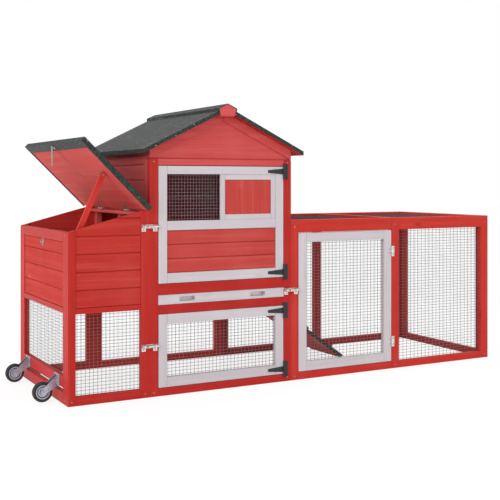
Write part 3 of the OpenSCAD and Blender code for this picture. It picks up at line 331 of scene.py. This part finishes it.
# Points and triangles of a node, with the points that coincide merged
def nodeArrays(node):
    mesh = frame["nodes"][node].data
    mesh.calc_loop_triangles()
    points = np.empty(len(mesh.vertices) * 3)
    corners = np.empty(len(mesh.loop_triangles) * 3, np.int32)
    mesh.vertices.foreach_get("co", points)
    mesh.loop_triangles.foreach_get("vertices", corners)
    points = points.reshape(-1, 3)
    first, back = np.unique(np.round(points / mergeGap), axis=0, return_index=True, return_inverse=True)[1:]
    return points[first], back.reshape(-1)[corners].reshape(-1, 3)


# Number of the solid that each point belongs to: points that share a face take the lowest label among them
def solidLabels(count, faces):
    labels = np.arange(count)
    while True:
        spread = labels.copy()
        np.minimum.at(spread, faces.ravel(), np.repeat(labels[faces].min(axis=1), faces.shape[1]))
        if np.array_equal(spread, labels):
            return np.unique(labels, return_inverse=True)[1].reshape(-1)
        labels = spread


# Lowest and highest corners of each solid of a node
def solidBoxes(points, labels):
    low = np.full((labels.max() + 1, 3), np.inf)
    high = -low
    np.minimum.at(low, labels, points)
    np.maximum.at(high, labels, points)
    return low, high


def boxesOf(node):
    points, faces = nodeArrays(node)
    return solidBoxes(points, solidLabels(len(points), faces))


def turnY(degrees):               # turns points about the Y axis, as rotate([0, a, 0]) does
    c, s = math.cos(math.radians(degrees)), math.sin(math.radians(degrees))
    return np.array([[c, 0, s], [0, 1, 0], [-s, 0, c]])


# Points of a mesh and, for each corner of its faces, the face's normal and the number of the point
def meshArrays(mesh):
    points = np.empty(len(mesh.vertices) * 3)
    normals = np.empty(len(mesh.polygons) * 3)
    corner = np.empty(len(mesh.loops), np.int32)
    total = np.empty(len(mesh.polygons), np.int32)
    mesh.vertices.foreach_get("co", points)
    mesh.polygons.foreach_get("normal", normals)
    mesh.loops.foreach_get("vertex_index", corner)
    mesh.polygons.foreach_get("loop_total", total)
    return points.reshape(-1, 3), np.repeat(normals.reshape(-1, 3), total, axis=0), corner


# A mesh that rides on a body, with its faces turned outward
def newPiece(name, points, faces, material, body):
    mesh = bpy.data.meshes.new(name)
    mesh.from_pydata(np.asarray(points).tolist(), [], faces)
    work = bmesh.new()
    work.from_mesh(mesh)
    bmesh.ops.recalc_face_normals(work, faces=work.faces)
    work.to_mesh(mesh)
    work.free()
    mesh.materials.append(material)
    piece = bpy.data.objects.new(name, mesh)
    bpy.context.scene.collection.objects.link(piece)
    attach(piece, body)
    return piece


slotOf = {row["node"]: row["material_slot"] for row in frame["record"]["subparts"]}


def nodePiece(name, node, points, faces, material):     # a new piece on a node's body, in its material slot
    return newPiece(name, points, faces, material, frame["nodes"][node]["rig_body"])


# A node's own shape as a new piece that stands for the node, with its flat faces whole again
def nodeCopy(node, material):
    points, faces = nodeArrays(node)
    piece = nodePiece(node + ".dressed", node, points, faces.tolist(), material)
    work = bmesh.new()
    work.from_mesh(piece.data)
    bmesh.ops.dissolve_limit(work, angle_limit=math.radians(flatWithin), verts=work.verts, edges=work.edges)
    work.to_mesh(piece.data)
    work.free()
    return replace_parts(piece, node)


# Timber: every board of a node, with eased edges and its own grain. An eased edge takes up no more than
# cornerShare of a board's side, and the grain of the upright ones runs across their longest side.
timber = {
    "edge": 0.0016, "arc": 3, "cornerShare": 0.4, "shift": 5.0, "upright": ["shutter_panel"],
    "turned": {"lid_prop": slopes["prop"], "ramp_board": slopes["ramp"], "ramp_treads": slopes["ramp"]},
    "woods": {
        "redFrame": ["nest_end_frame", "nest_side_frames", "house_front_frame", "house_rear_frame"],
        # the run's, panels' and walls' paints are lighter copies (painted light), the far run frames' a
        # darker one (painted shade)
        "redRun": ["run_front_frame", "run_roof_frame", "lid_prop"],
        "redShade": ["run_rear_frame", "run_end_frame"],
        "redPlank": ["nest_end_planks", "nest_side_planks", "house_rear_planks", "ramp_board", "ramp_treads"],
        "redPanel": ["upper_door_planks", "shutter_panel"],
        "redWall": ["house_left_wall", "house_right_wall", "gables", "ridge_beam"],
        "redInner": ["nest_boards", "roof_deck", "tray_runners", "perches"],
        "whiteTrim": ["upper_door_frame", "shutter_frame", "lower_door_frame", "run_door_frame",
                      "tray_front"],
    },
}


# Outline of a flat cap: the edges that only one of its triangles has, in order, or None where it has a hole
def capLoop(triangles):
    edges = triangles[:, [[0, 1], [1, 2], [2, 0]]].reshape(-1, 2)
    first, count = np.unique(np.sort(edges, axis=1), axis=0, return_index=True, return_counts=True)[1:]
    rim = edges[first[count == 1]]
    following = dict(rim.tolist())
    loop = [int(rim[0, 0])]
    while len(loop) < len(rim):
        loop.append(following[loop[-1]])
    return loop if len(set(loop)) == len(rim) else None


# Section of a solid that is the same all along one axis, as (axis, outline), or None
def sectionOf(points, triangles):
    for axis in np.argsort(-np.ptp(points, axis=0)):
        at = np.round(points[:, axis] / sameGap)
        ends = [points[at == end] for end in (at.min(), at.max())]
        if len(np.unique(at)) != 2 or len(ends[0]) != len(ends[1]):
            continue
        rest = [k for k in range(3) if k != axis]
        near, far = (end[np.lexsort(np.round(end[:, rest] / sameGap).T)][:, rest] for end in ends)
        loop = capLoop(triangles[(at[triangles] == at.min()).all(axis=1)])
        if loop and np.abs(near - far).max() < 2 * sameGap:
            return axis, points[loop][:, rest]
    return None


# Rounds each corner P of an outline by P + a (1 - t)^2 + b t^2, where a and b reach back along its two edges
def rounded(outline):
    back = np.roll(outline, 1, axis=0) - outline
    ahead = np.roll(outline, -1, axis=0) - outline
    lengths = [np.linalg.norm(edge, axis=1, keepdims=True) for edge in (back, ahead)]
    reach = np.minimum(timber["edge"], timber["cornerShare"] * np.minimum(*lengths))
    a, b = ((edge / length * reach)[:, None] for edge, length in zip((back, ahead), lengths))
    t = np.linspace(0, 1, timber["arc"])[None, :, None]
    return (outline[:, None] + (a * (1 - t) ** 2 + b * t ** 2)).reshape(-1, 2)


# A board: its rounded outline carried from one end to the other. At both ends the outline shrinks along a
# quarter circle, so that the ends are eased too.
def boardRings(outline, low, high):
    radius = timber["edge"]
    skin = rounded(outline)
    middle = (outline.min(axis=0) + outline.max(axis=0)) / 2
    half = np.ptp(outline, axis=0) / 2
    turn = np.linspace(0, math.pi / 2, timber["arc"])
    inset, depth = radius * (1 - np.sin(turn)), radius * (1 - np.cos(turn))
    along = np.concatenate([low + depth, high - depth[::-1]])
    shrink = np.concatenate([inset, inset[::-1]])[:, None, None]
    scale = (half - np.minimum(shrink, timber["cornerShare"] * half)) / half
    return along, middle + (skin - middle)[None] * scale


# Faces of a row of closed rings, with a cap at each end
def ringFaces(rings, points, start=0):
    ring = np.arange(rings - 1)[:, None] * points + start
    step = np.arange(points)[None]
    following = (step + 1) % points
    corners = [ring + step, ring + following, ring + points + following, ring + points + step]
    last = start + (rings - 1) * points
    ends = [list(range(first, first + points)) for first in (start, last)]
    return np.stack(corners, axis=-1).reshape(-1, 4).tolist() + ends


# Joins boards into one piece that stands for a node; the attribute "solid" keeps the number of each board
def joinBoards(name, node, boards, faces, material, degrees):
    piece = nodePiece(name, node, np.concatenate(boards) @ turnY(degrees).T, faces, material)
    solid = np.repeat(np.arange(len(boards), dtype=np.int32), [len(board) for board in boards])
    piece.data.attributes.new("solid", "INT", "POINT").data.foreach_set("value", solid)
    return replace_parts(setGrain(piece, degrees, node in timber["upright"]), node)


# Every board of a node. A solid whose section changes along it keeps its own triangles.
def boardPiece(node, material, degrees=0.0):
    points, faces = nodeArrays(node)
    labels = solidLabels(len(points), faces)
    local = points @ turnY(degrees)
    boards, boardFaces, used = [], [], 0
    for k in range(labels.max() + 1):
        board = local[labels == k]
        triangles = (np.cumsum(labels == k) - 1)[faces[labels[faces[:, 0]] == k]]
        section = sectionOf(board, triangles)
        if section is None:
            boardFaces += (triangles + used).tolist()
        else:
            axis, outline = section
            along, rings = boardRings(outline, board[:, axis].min(), board[:, axis].max())
            board = np.empty((*rings.shape[:2], 3))
            board[..., axis] = along[:, None]
            board[..., [j for j in range(3) if j != axis]] = rings
            board = board.reshape(-1, 3)
            boardFaces += ringFaces(*rings.shape[:2], used)
        boards.append(board)
        used += len(board)
    return joinBoards(node + ".boards", node, boards, boardFaces, material, degrees)


# Gives each board its grain: u runs along the board and v across the face, in metres, each board shifted by
# its own random length. Attribute "board": distance from the middle line, half the width, and a tone.
def setGrain(piece, degrees, upright):
    points, normals, corner = meshArrays(piece.data)
    labels = np.empty(len(points), np.int32)
    piece.data.attributes["solid"].data.foreach_get("value", labels)
    local, localNormals = points @ turnY(degrees), normals @ turnY(degrees)
    low, high = solidBoxes(local, labels)
    order = np.argsort(high - low, axis=1)[:, [0, 2, 1] if upright else [0, 1, 2]]
    solid = labels[corner]
    normalAxis = np.abs(localNormals).argmax(axis=1)
    along = np.where(normalAxis == order[solid, 2], order[solid, 1], order[solid, 2])
    across = 3 - along - normalAxis                   # the three axes 0, 1 and 2 add up to 3
    shift = rng.uniform(-timber["shift"], timber["shift"], (len(low), 2))
    tone = rng.uniform(0, 1, len(low))
    row = np.arange(len(corner))
    place = local[corner]
    grain = np.stack([place[row, along] + shift[solid, 0], place[row, across] + shift[solid, 1]], axis=1)
    middle, half = (low + high) / 2, (high - low) / 2
    board = np.stack([place[row, across] - middle[solid, across], half[solid, across], tone[solid]], axis=1)
    piece.data.uv_layers.new(name="grain").data.foreach_set("uv", grain.astype(np.float32).ravel())
    field = piece.data.attributes.new("board", "FLOAT_VECTOR", "CORNER")
    field.data.foreach_set("vector", board.astype(np.float32).ravel())
    return piece


for finish, nodes in timber["woods"].items():
    for node in nodes:
        boardPiece(node, wood[finish], timber["turned"].get(node, 0.0))
print("timber dressed")


# Welded wire: straight tubes in two layers, across and up, each a little wavy. A wire's middle line is
# start + s (end - start) + wave sin(turns s + phase), and its skin a circle round that line.
welded = {"up": 0.0127, "sides": 5, "stations": 9, "bedded": 0.003, "wave": 0.00015, "turns": 9,
          "layerShare": 0.9, "windowShare": 0.72,
          "radius": {"front": 0.0008, "far": 0.0004, "nestEnd": 0.00052, "roof": 0.00062},
          # far panels and window take the painted-light copies of the wire, the run's roof the painted-shade
          # copy
          "panels": {"nest_mesh": (wireZinc, 0.0160), "rear_mesh": (paleZinc, 0.0160),
                     "run_front_mesh": (wireZinc, 0.0205), "run_end_mesh": (paleZinc, 0.0160),
                     "lower_door_mesh": (wireZinc, 0.0160), "run_door_mesh": (wireZinc, 0.0182),
                     "run_roof_mesh": (roofWire, 0.0160), "upper_door_mesh": (windowWire, 0.0127)}}


def wires(start, end, normal, radius):
    s = np.linspace(0, 1, welded["stations"])[None, :, None]
    phase = rng.uniform(0, 2 * math.pi, (len(start), 1, 1))
    line = start[:, None] + s * (end - start)[:, None]
    line = line + welded["wave"] * np.sin(welded["turns"] * s + phase) * normal
    sideways = np.cross((end - start)[0] / np.linalg.norm((end - start)[0]), normal)
    turn = np.linspace(0, 2 * math.pi, welded["sides"], endpoint=False)[:, None]
    circle = radius * (np.cos(turn) * normal + np.sin(turn) * sideways)
    return (line[:, :, None] + circle).reshape(-1, 3)


def wirePanel(node, material, acrossPitch):
    points, faces, used = [], [], 0
    for low, high in zip(*boxesOf(node)):
        thin = int((high - low).argmin())
        first, second = [axis for axis in range(3) if axis != thin]
        normal = np.eye(3)[thin]
        middle = (low + high) / 2
        # where the panel is: at an end, on a long side or on top, by the axis along which it is thin
        side = ("far" if middle[0] > 0 else "nestEnd", "far" if middle[1] > 0 else "front", "roof")[thin]
        radius = welded["radius"][side] * (welded["windowShare"] if node == "upper_door_mesh" else 1)
        for across, run, pitch, layer in ((first, second, acrossPitch, 1), (second, first, welded["up"], -1)):
            count = int(round((high - low)[across] / pitch))
            at = low[across] + (np.arange(count) + 0.5) * (high - low)[across] / count
            start = np.tile(middle + layer * radius * welded["layerShare"] * normal, (count, 1))
            start[:, across] = at
            end = start.copy()
            start[:, run] = low[run] - welded["bedded"]
            end[:, run] = high[run] + welded["bedded"]
            tubes = wires(start, end, normal, radius)
            size = welded["stations"] * welded["sides"]
            for wire in range(count):
                faces += ringFaces(welded["stations"], welded["sides"], used + wire * size)
            points.append(tubes)
            used += len(tubes)
    piece = nodePiece(node + ".welded", node, np.concatenate(points), faces, material)
    piece.data.shade_smooth()
    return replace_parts(piece, node)


for node, (material, acrossPitch) in welded["panels"].items():
    wirePanel(node, material, acrossPitch)
print("wire panels made")


# Felt: the node's folded sheet. Hem is 1 where the sheet is turned down or under, so that its normal's upward
# share is less than flatShare.
feltLook = {"flatShare": 0.8,
            "turned": {"roof_felt": 0.0, "lid_felt": slopes["lid"], "ramp_felt": slopes["ramp"]}}
for node, degrees in feltLook["turned"].items():
    piece = nodeCopy(node, felt)
    normals = meshArrays(piece.data)[1] @ turnY(degrees)
    hem = (normals[:, 2] < feltLook["flatShare"]).astype(np.float32)
    piece.data.attributes.new("hem", "FLOAT", "CORNER").data.foreach_set("value", hem)
print("felt laid")


# Lid: two boards side by side, so that the joint between them shows on the underside
lid = {"open": slopes["lid"], "joint": 0.0012}


def lidBoards():
    local = nodeArrays("lid_board")[0] @ turnY(lid["open"])
    low, high = local.min(axis=0), local.max(axis=0)
    middle, gap = (low[1] + high[1]) / 2, lid["joint"] / 2
    boards, faces = [], []
    for k, (near, far) in enumerate(((low[1], middle - gap), (middle + gap, high[1]))):
        outline = np.array([[near, low[2]], [far, low[2]], [far, high[2]], [near, high[2]]])
        along, rings = boardRings(outline, low[0], high[0])
        board = np.dstack([np.repeat(along[:, None], rings.shape[1], axis=1), rings]).reshape(-1, 3)
        faces += ringFaces(*rings.shape[:2], k * len(board))
        boards.append(board)
    # the lid's paint is a lighter copy of the plank paint, as painted light
    joinBoards("lid_board.pair", "lid_board", boards, faces, wood["redLid"], lid["open"])


lidBoards()
print("lid boards made")


# Fittings: the nodes' own shapes, smooth where they are round
fittings = {
    "smoothTo": 32.0,
    "metals": [
        (zinc, ["butt_hinge_leaves", "bolt_housings", "run_door_leaves", "ramp_leaves", "upper_bolt",
                "lower_bolt", "run_bolt"]),
        (agedZinc, ["hasp_staple", "lid_leaves", "hasp_strap"]),
        (forkZinc, ["wheel_brackets"]),
        (panZinc, ["tray_pan"]),
        (iron, ["strap_hinge_plates", "upper_door_straps", "lower_door_straps"]),
    ],
}
for material, nodes in fittings["metals"]:
    for node in nodes:
        piece = nodeCopy(node, material)
        piece.data.shade_smooth()
        piece.data.set_sharp_from_angle(angle=math.radians(fittings["smoothTo"]))
print("fittings dressed")


# Wheels: a closed outline (radius, width) turned about the axle. Tyre: a rounded band with two grooves.
# Hub: a boss round the bore, a sunk web with a raised ring, and a rim, darkened as painted shade in what is
# sunk.
wheel = {"turns": 96, "sharpFrom": 50.0, "play": 0.0002, "bore": 0.00405, "boss": (0.0086, 0.0092),
         "band": (0.0116, 0.0124, 0.0176, 0.0184), "rim": (0.0050, 0.0040, 0.0006),
         "web": 0.0042, "ring": 0.0016, "bead": 0.0008, "sunkShadeFrom": 0.003,
         "stations": 41, "sidePower": 0.55, "crownPower": 0.45, "seatShare": 0.92, "wallShare": 0.35,
         "grooveDeep": 0.0012, "groovePlaceShare": 0.28, "grooveWidthShare": 0.05}


def revolved(node, outline, material, groove=None):
    low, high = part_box(node)
    centre = np.array((low + high) / 2)
    angle = np.linspace(0, 2 * math.pi, wheel["turns"], endpoint=False)
    points = np.empty((wheel["turns"], len(outline), 3))
    points[..., 0] = centre[0] + np.cos(angle)[:, None] * outline[:, 0]
    points[..., 1] = centre[1] + outline[None, :, 1]
    points[..., 2] = centre[2] + np.sin(angle)[:, None] * outline[:, 0]
    i = np.arange(wheel["turns"])[:, None]
    j = np.arange(len(outline))[None]
    nextI, nextJ = (i + 1) % wheel["turns"], (j + 1) % len(outline)
    corners = [a * len(outline) + b for a, b in ((i, j), (nextI, j), (nextI, nextJ), (i, nextJ))]
    faces = np.stack(corners, axis=-1).reshape(-1, 4).tolist()
    piece = nodePiece(node + ".turned", node, points.reshape(-1, 3), faces, material)
    piece.data.shade_smooth()
    piece.data.set_sharp_from_angle(angle=math.radians(wheel["sharpFrom"]))
    if groove is not None:
        field = piece.data.attributes.new("groove", "FLOAT", "POINT")
        field.data.foreach_set("value", np.tile(groove, wheel["turns"]).astype(np.float32))
    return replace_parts(piece, node)


# Section of the tyre: t runs from 0 at one side to pi at the other, and powers of its cosine and sine square
# it off. The two grooves are grooveDeep exp(-off^2) deep, and the seat on the hub is flat.
def tyreOutline(outer, inner, width):
    t = np.linspace(0, math.pi, wheel["stations"])
    side = np.sign(np.cos(t)) * np.abs(np.cos(t)) ** wheel["sidePower"]
    crown = np.sin(t) ** wheel["crownPower"]
    radius = inner + (outer - inner) * (wheel["wallShare"] + (1 - wheel["wallShare"]) * crown)
    off = (np.abs(side) - wheel["groovePlaceShare"]) / wheel["grooveWidthShare"]
    band = np.stack([radius - np.exp(-off ** 2) * wheel["grooveDeep"], side * width / 2], axis=1)
    seat = wheel["seatShare"] * width / 2
    return np.concatenate([band, [[inner, -seat], [inner, seat]]])


# Section of the hub from the bore out to the tyre: radii, and how far each lies below the side face
def hubOutline(outer, width):
    web, ring, bead = wheel["web"], wheel["ring"], wheel["bead"]
    rim = [outer - inward for inward in wheel["rim"]]
    radius = np.array([wheel["bore"], *wheel["boss"], *wheel["band"], *rim, outer])
    sunk = np.array([0, 0, web, web, ring, ring, web, web, bead, bead, 2 * bead])
    near = np.stack([radius, width / 2 - sunk], axis=1)
    # points sunk deeper than the threshold get painted shade
    shaded = np.concatenate([sunk, sunk[::-1]]) > wheel["sunkShadeFrom"]
    return np.concatenate([near, near[::-1] * [1, -1]]), shaded


for side in ("front", "rear"):
    low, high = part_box(side + "_tyre")
    hubLow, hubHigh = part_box(side + "_hub")
    width, outer, hubOuter = high.y - low.y, (high.x - low.x) / 2, (hubHigh.x - hubLow.x) / 2
    revolved(side + "_tyre", tyreOutline(outer, hubOuter + wheel["play"], width), rubber)
    outline, groove = hubOutline(hubOuter, width)
    revolved(side + "_hub", outline, hubGrey, groove)
print("wheels turned")


# Fixings: small domed heads with a dimple. A head's points are place + rise n + radius (cos a p + sin a q),
# where p and q span the face that carries it; radius and rise follow the dome's shares.
fixing = {
    "sides": 8, "sunk": 0.0003,
    "domeShares": ((1.0, 0.0), (0.97, 0.5), (0.74, 0.92), (0.44, 1.0), (0.3, 0.55)),     # of radius and rise
    "screw": (0.0032, 0.0012), "postScrew": (0.0028, 0.0008), "nail": (0.0040, 0.0008),  # radius and rise
    "aside": (0.31, 0.83, 0.46),                                  # a direction that no head points in
    "leaf": 0.002, "boltPlate": 0.0015, "forkPlate": 0.0025,      # how thick the fittings are
    "plate": (0.007, 0.0235), "buttFixed": (0.005, 0.013), "buttMoving": (0.005, 0.007),
    "strap": (0.012, 0.040),                                      # both in from the strap's end
    "boltFoot": (0.0085, 0.006),                                  # in from both ends, and up from the foot
    "forkFlange": (0.007, 0.012), "forkRail": (0.060, 0.102),     # the rail's foot and top
    "postEnd": 0.016, "postTop": 0.012, "nailStep": 0.1, "nailIn": 0.014,
    "postFrom": 0.3, "railFrom": 0.5, "sheetFrom": 0.3,           # least lengths of posts, rails and sheets
}
headSets = {}


def addHeads(body, kind, material, slot, places, normal):
    radius, rise = fixing[kind]
    normal = np.asarray(normal, float)
    p = np.cross(normal, fixing["aside"])
    p = p / np.linalg.norm(p)
    turn = np.linspace(0, 2 * math.pi, fixing["sides"], endpoint=False)[:, None]
    circle = np.cos(turn) * p + np.sin(turn) * np.cross(normal, p)
    dome = np.array(fixing["domeShares"])
    head = dome[:, None, :1] * radius * circle + (dome[:, 1:] * rise - fixing["sunk"])[:, None] * normal
    points = np.asarray(places, float)[:, None, None] + head
    headSets.setdefault((body, kind, material.name, slot), []).append(points.reshape(-1, 3))


frontFace, rearFace = (0, -1, 0), (0, 1, 0)
zincSlot, ironSlot = slotOf["bolt_housings"], slotOf["strap_hinge_plates"]


# Two screws in each hinge leaf on the front; offsets: from the leaf's end, and up and down from its middle
def hingeHeads(node, body, material, slot, offsets, fixedLeaf):
    for low, high in zip(*boxesOf(node)):
        if high[1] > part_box("house_front_frame")[0].y + fixing["leaf"]:
            continue
        x = high[0] - offsets[0] if fixedLeaf else low[0] + offsets[0]
        z = (low[2] + high[2]) / 2
        addHeads(body, "screw", material, slot,
                 [(x, high[1] - fixing["leaf"], z + s * offsets[1]) for s in (-1, 1)], frontFace)


hingeHeads("strap_hinge_plates", "coop", iron, ironSlot, fixing["plate"], True)
hingeHeads("butt_hinge_leaves", "coop", agedZinc, zincSlot, fixing["buttFixed"], True)
hingeHeads("run_door_leaves", "run_door", agedZinc, zincSlot, fixing["buttMoving"], False)
for door in ("upper_door", "lower_door"):
    for low, high in zip(*boxesOf(door + "_straps")):
        y, z = high[1] - fixing["leaf"], (low[2] + high[2]) / 2
        addHeads(door, "screw", iron, ironSlot, [(low[0] + x, y, z) for x in fixing["strap"]], frontFace)
for low, high in zip(*boxesOf("bolt_housings")):
    x, z = fixing["boltFoot"]
    addHeads("coop", "screw", agedZinc, zincSlot,
             [(at, high[1] - fixing["boltPlate"], low[2] + z) for at in (low[0] + x, high[0] - x)], frontFace)
for low, high in zip(*boxesOf("wheel_brackets")):
    y, z = fixing["forkFlange"]
    middle = sum(fixing["forkRail"]) / 2
    if high[0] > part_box("nest_end_frame")[0].x - fixing["leaf"]:
        addHeads("coop", "screw", zinc, zincSlot,
                 [(high[0] - fixing["forkPlate"], at, middle + s * z) for at in (low[1] + y, high[1] - y)
                  for s in (-1, 1)], (-1, 0, 0))

# A screw near the foot of every post, on its outer face, and another at the top where that is square
outerFaces = {"house_front_frame": frontFace, "house_rear_frame": rearFace, "nest_side_frames": None,
              "run_front_frame": frontFace, "run_rear_frame": rearFace, "nest_end_frame": (-1, 0, 0),
              "run_end_frame": (1, 0, 0)}
for node, normal in outerFaces.items():
    for low, high in zip(*boxesOf(node)):
        if high[2] - low[2] > fixing["postFrom"]:
            out = np.array(normal or (frontFace if low[1] < 0 else rearFace))
            place = np.where(out > 0, high, np.where(out < 0, low, (low + high) / 2))
            ends = np.tile(place, (2, 1))
            ends[:, 2] = low[2] + fixing["postEnd"], high[2] - fixing["postTop"]
            addHeads("coop", "postScrew", agedZinc, zincSlot, ends if normal else ends[:1], out)

# The run's roof: a screw where each cross rail meets a long rail
low, high = boxesOf("run_roof_frame")
isLong = (high - low)[:, 0] > fixing["railFrom"]
crossX = ((low + high) / 2)[~isLong, 0]
longY = ((low + high) / 2)[isLong, 1]
addHeads("coop", "postScrew", agedZinc, zincSlot, [(x, y, high[:, 2].max()) for x in crossX for y in longY],
         (0, 0, 1))


# Felt nails along three edges of a sloping sheet; outward is the end of local x where the free edge is
def feltNails(low, high, degrees, outward, body):
    inset, step = fixing["nailIn"], fixing["nailStep"]
    edge = high[0] - inset if outward > 0 else low[0] + inset
    counts = ((high - low - 2 * inset) / step).astype(int)
    y = np.linspace(low[1] + inset, high[1] - inset, counts[1] + 1)
    x = edge - outward * step * np.arange(1, counts[0] + 1)
    along, up = (grid.ravel() for grid in np.meshgrid(x, y[[0, -1]]))
    flat = np.concatenate([np.stack([np.full(len(y), edge), y], axis=1), np.stack([along, up], axis=1)])
    places = np.column_stack([flat, np.full(len(flat), high[2])])
    back = turnY(degrees).T
    addHeads(body, "nail", agedZinc, zincSlot, places @ back, np.array([0, 0, 1.0]) @ back)


feltPoints, feltFaces = nodeArrays("roof_felt")
feltSolid = solidLabels(len(feltPoints), feltFaces)
for k in range(feltSolid.max() + 1):
    mine = feltPoints[feltSolid == k]
    side = np.sign(mine[:, 0].mean() - feltPoints[:, 0].mean())
    if np.ptp(mine[:, 0]) > fixing["sheetFrom"]:          # not the strip over the ridge
        local = mine @ turnY(side * slopes["roof"])
        feltNails(local.min(axis=0), local.max(axis=0), side * slopes["roof"], side, "coop")
local = nodeArrays("lid_felt")[0] @ turnY(lid["open"])
feltNails(local.min(axis=0), local.max(axis=0), lid["open"], -1, "lid")

for (body, kind, finish, slot), sets in headSets.items():
    points = np.concatenate(sets)
    rings = len(fixing["domeShares"])
    size = rings * fixing["sides"]
    faces = [face for at in range(0, len(points), size) for face in ringFaces(rings, fixing["sides"], at)]
    piece = newPiece(f"{body}.{finish}.{kind}s", points, faces, bpy.data.materials[finish], body)
    piece.data.shade_smooth()
print("fixings driven:", sum(len(points) for sets in headSets.values() for points in sets) // size)


# Floor and backdrop: white to the camera, with a soft shadow left on the floor
stage = {"half": 30.0, "drop": 0.0006, "glow": 0.8, "shade": paint(140, 140, 140),
         "bounce": paint(226, 226, 226), "fade": (1.5, 3.2)}
black, white = paint(0, 0, 0), paint(255, 255, 255)


def makeFloor():
    half, z = stage["half"], -stage["drop"]
    corners = [(-half, -half, z), (half, -half, z), (half, half, z), (-half, half, z)]
    mesh = bpy.data.meshes.new("floor")
    mesh.from_pydata(corners, [], [(0, 1, 2, 3)])
    floor = bpy.data.objects.new("floor", mesh)
    bpy.context.scene.collection.objects.link(floor)
    f = Finish("floorWhite")
    rays = f.node("ShaderNodeLightPath").socket.node.outputs
    kinds = ("Is Camera Ray", "Is Glossy Ray", "Is Transmission Ray")
    camera, glossy, through = (Value(f, rays[kind]) for kind in kinds)
    reach = f.node("ShaderNodeVectorMath", {"operation": "LENGTH"}, {0: f.place()}, out="Value")
    far = reach.rise(*stage["fade"])
    near = stage["glow"] + (1 - stage["glow"]) * far
    bright = (camera + glossy + through).math("MINIMUM", 1.0) * near
    colour = f.mix(camera, stage["bounce"], f.mix(far, stage["shade"], black))
    f.set(Base_Color=colour, Roughness=1.0, Specular_IOR_Level=0.0,
          Emission_Color=f.mix(bright, black, white), Emission_Strength=1.0)
    mesh.materials.append(f.material)


makeFloor()

# Light: an even sky, and three large lamps (place, size and power) turned to the middle of the coop
light = {"sky": 0.84, "background": 1.0, "aim": (0.0, 0.0, 0.45),
         "lamps": {"key": ((-5.6, -2.6, 2.6), 3.2, 105.0), "fill": ((1.6, -6.4, 2.2), 3.5, 12.0),
                   "top": ((0.3, 1.5, 5.5), 4.0, 25.0)}}


def makeLight():
    world = bpy.data.worlds.new("studio")
    bpy.context.scene.world = world
    world.use_nodes = True
    tree = world.node_tree
    background = tree.nodes["Background"]
    path = tree.nodes.new("ShaderNodeLightPath")
    level = tree.nodes.new("ShaderNodeMapRange")
    level.inputs["To Min"].default_value = light["sky"]
    level.inputs["To Max"].default_value = light["background"]
    seen = tree.nodes.new("ShaderNodeMath")
    seen.operation = "ADD"
    tree.links.new(path.outputs["Is Camera Ray"], seen.inputs[0])
    tree.links.new(path.outputs["Is Transmission Ray"], seen.inputs[1])
    tree.links.new(seen.outputs[0], level.inputs["Value"])
    tree.links.new(level.outputs[0], background.inputs["Strength"])
    background.inputs["Color"].default_value = white
    for name, (place, size, power) in light["lamps"].items():
        lamp = bpy.data.lights.new(name, "AREA")
        lamp.size = size
        lamp.energy = power
        holder = bpy.data.objects.new(name, lamp)
        holder.location = place
        away = Vector(place) - Vector(light["aim"])
        holder.rotation_mode = "QUATERNION"
        holder.rotation_quaternion = away.to_track_quat("Z", "Y")
        bpy.context.scene.collection.objects.link(holder)


makeLight()

# Camera of the photograph, found from the corners of the frame. It looks level, and the picture is shifted.
photo = {"place": (-2.018, -3.620, 0.825), "tilt": 90.0, "turn": -28.76, "lens": 67.03, "sensor": 36.0,
         "shiftY": -0.1378}
eye = bpy.data.cameras.new("photoCamera")
eye.lens = photo["lens"]
eye.sensor_width = photo["sensor"]
eye.shift_y = photo["shiftY"]
holder = bpy.data.objects.new("photoCamera", eye)
holder.location = photo["place"]
holder.rotation_euler = (math.radians(photo["tilt"]), 0.0, math.radians(photo["turn"]))
bpy.context.scene.collection.objects.link(holder)
bpy.context.scene.camera = holder
bpy.context.scene.view_settings.view_transform = "Standard"
print("stage set")
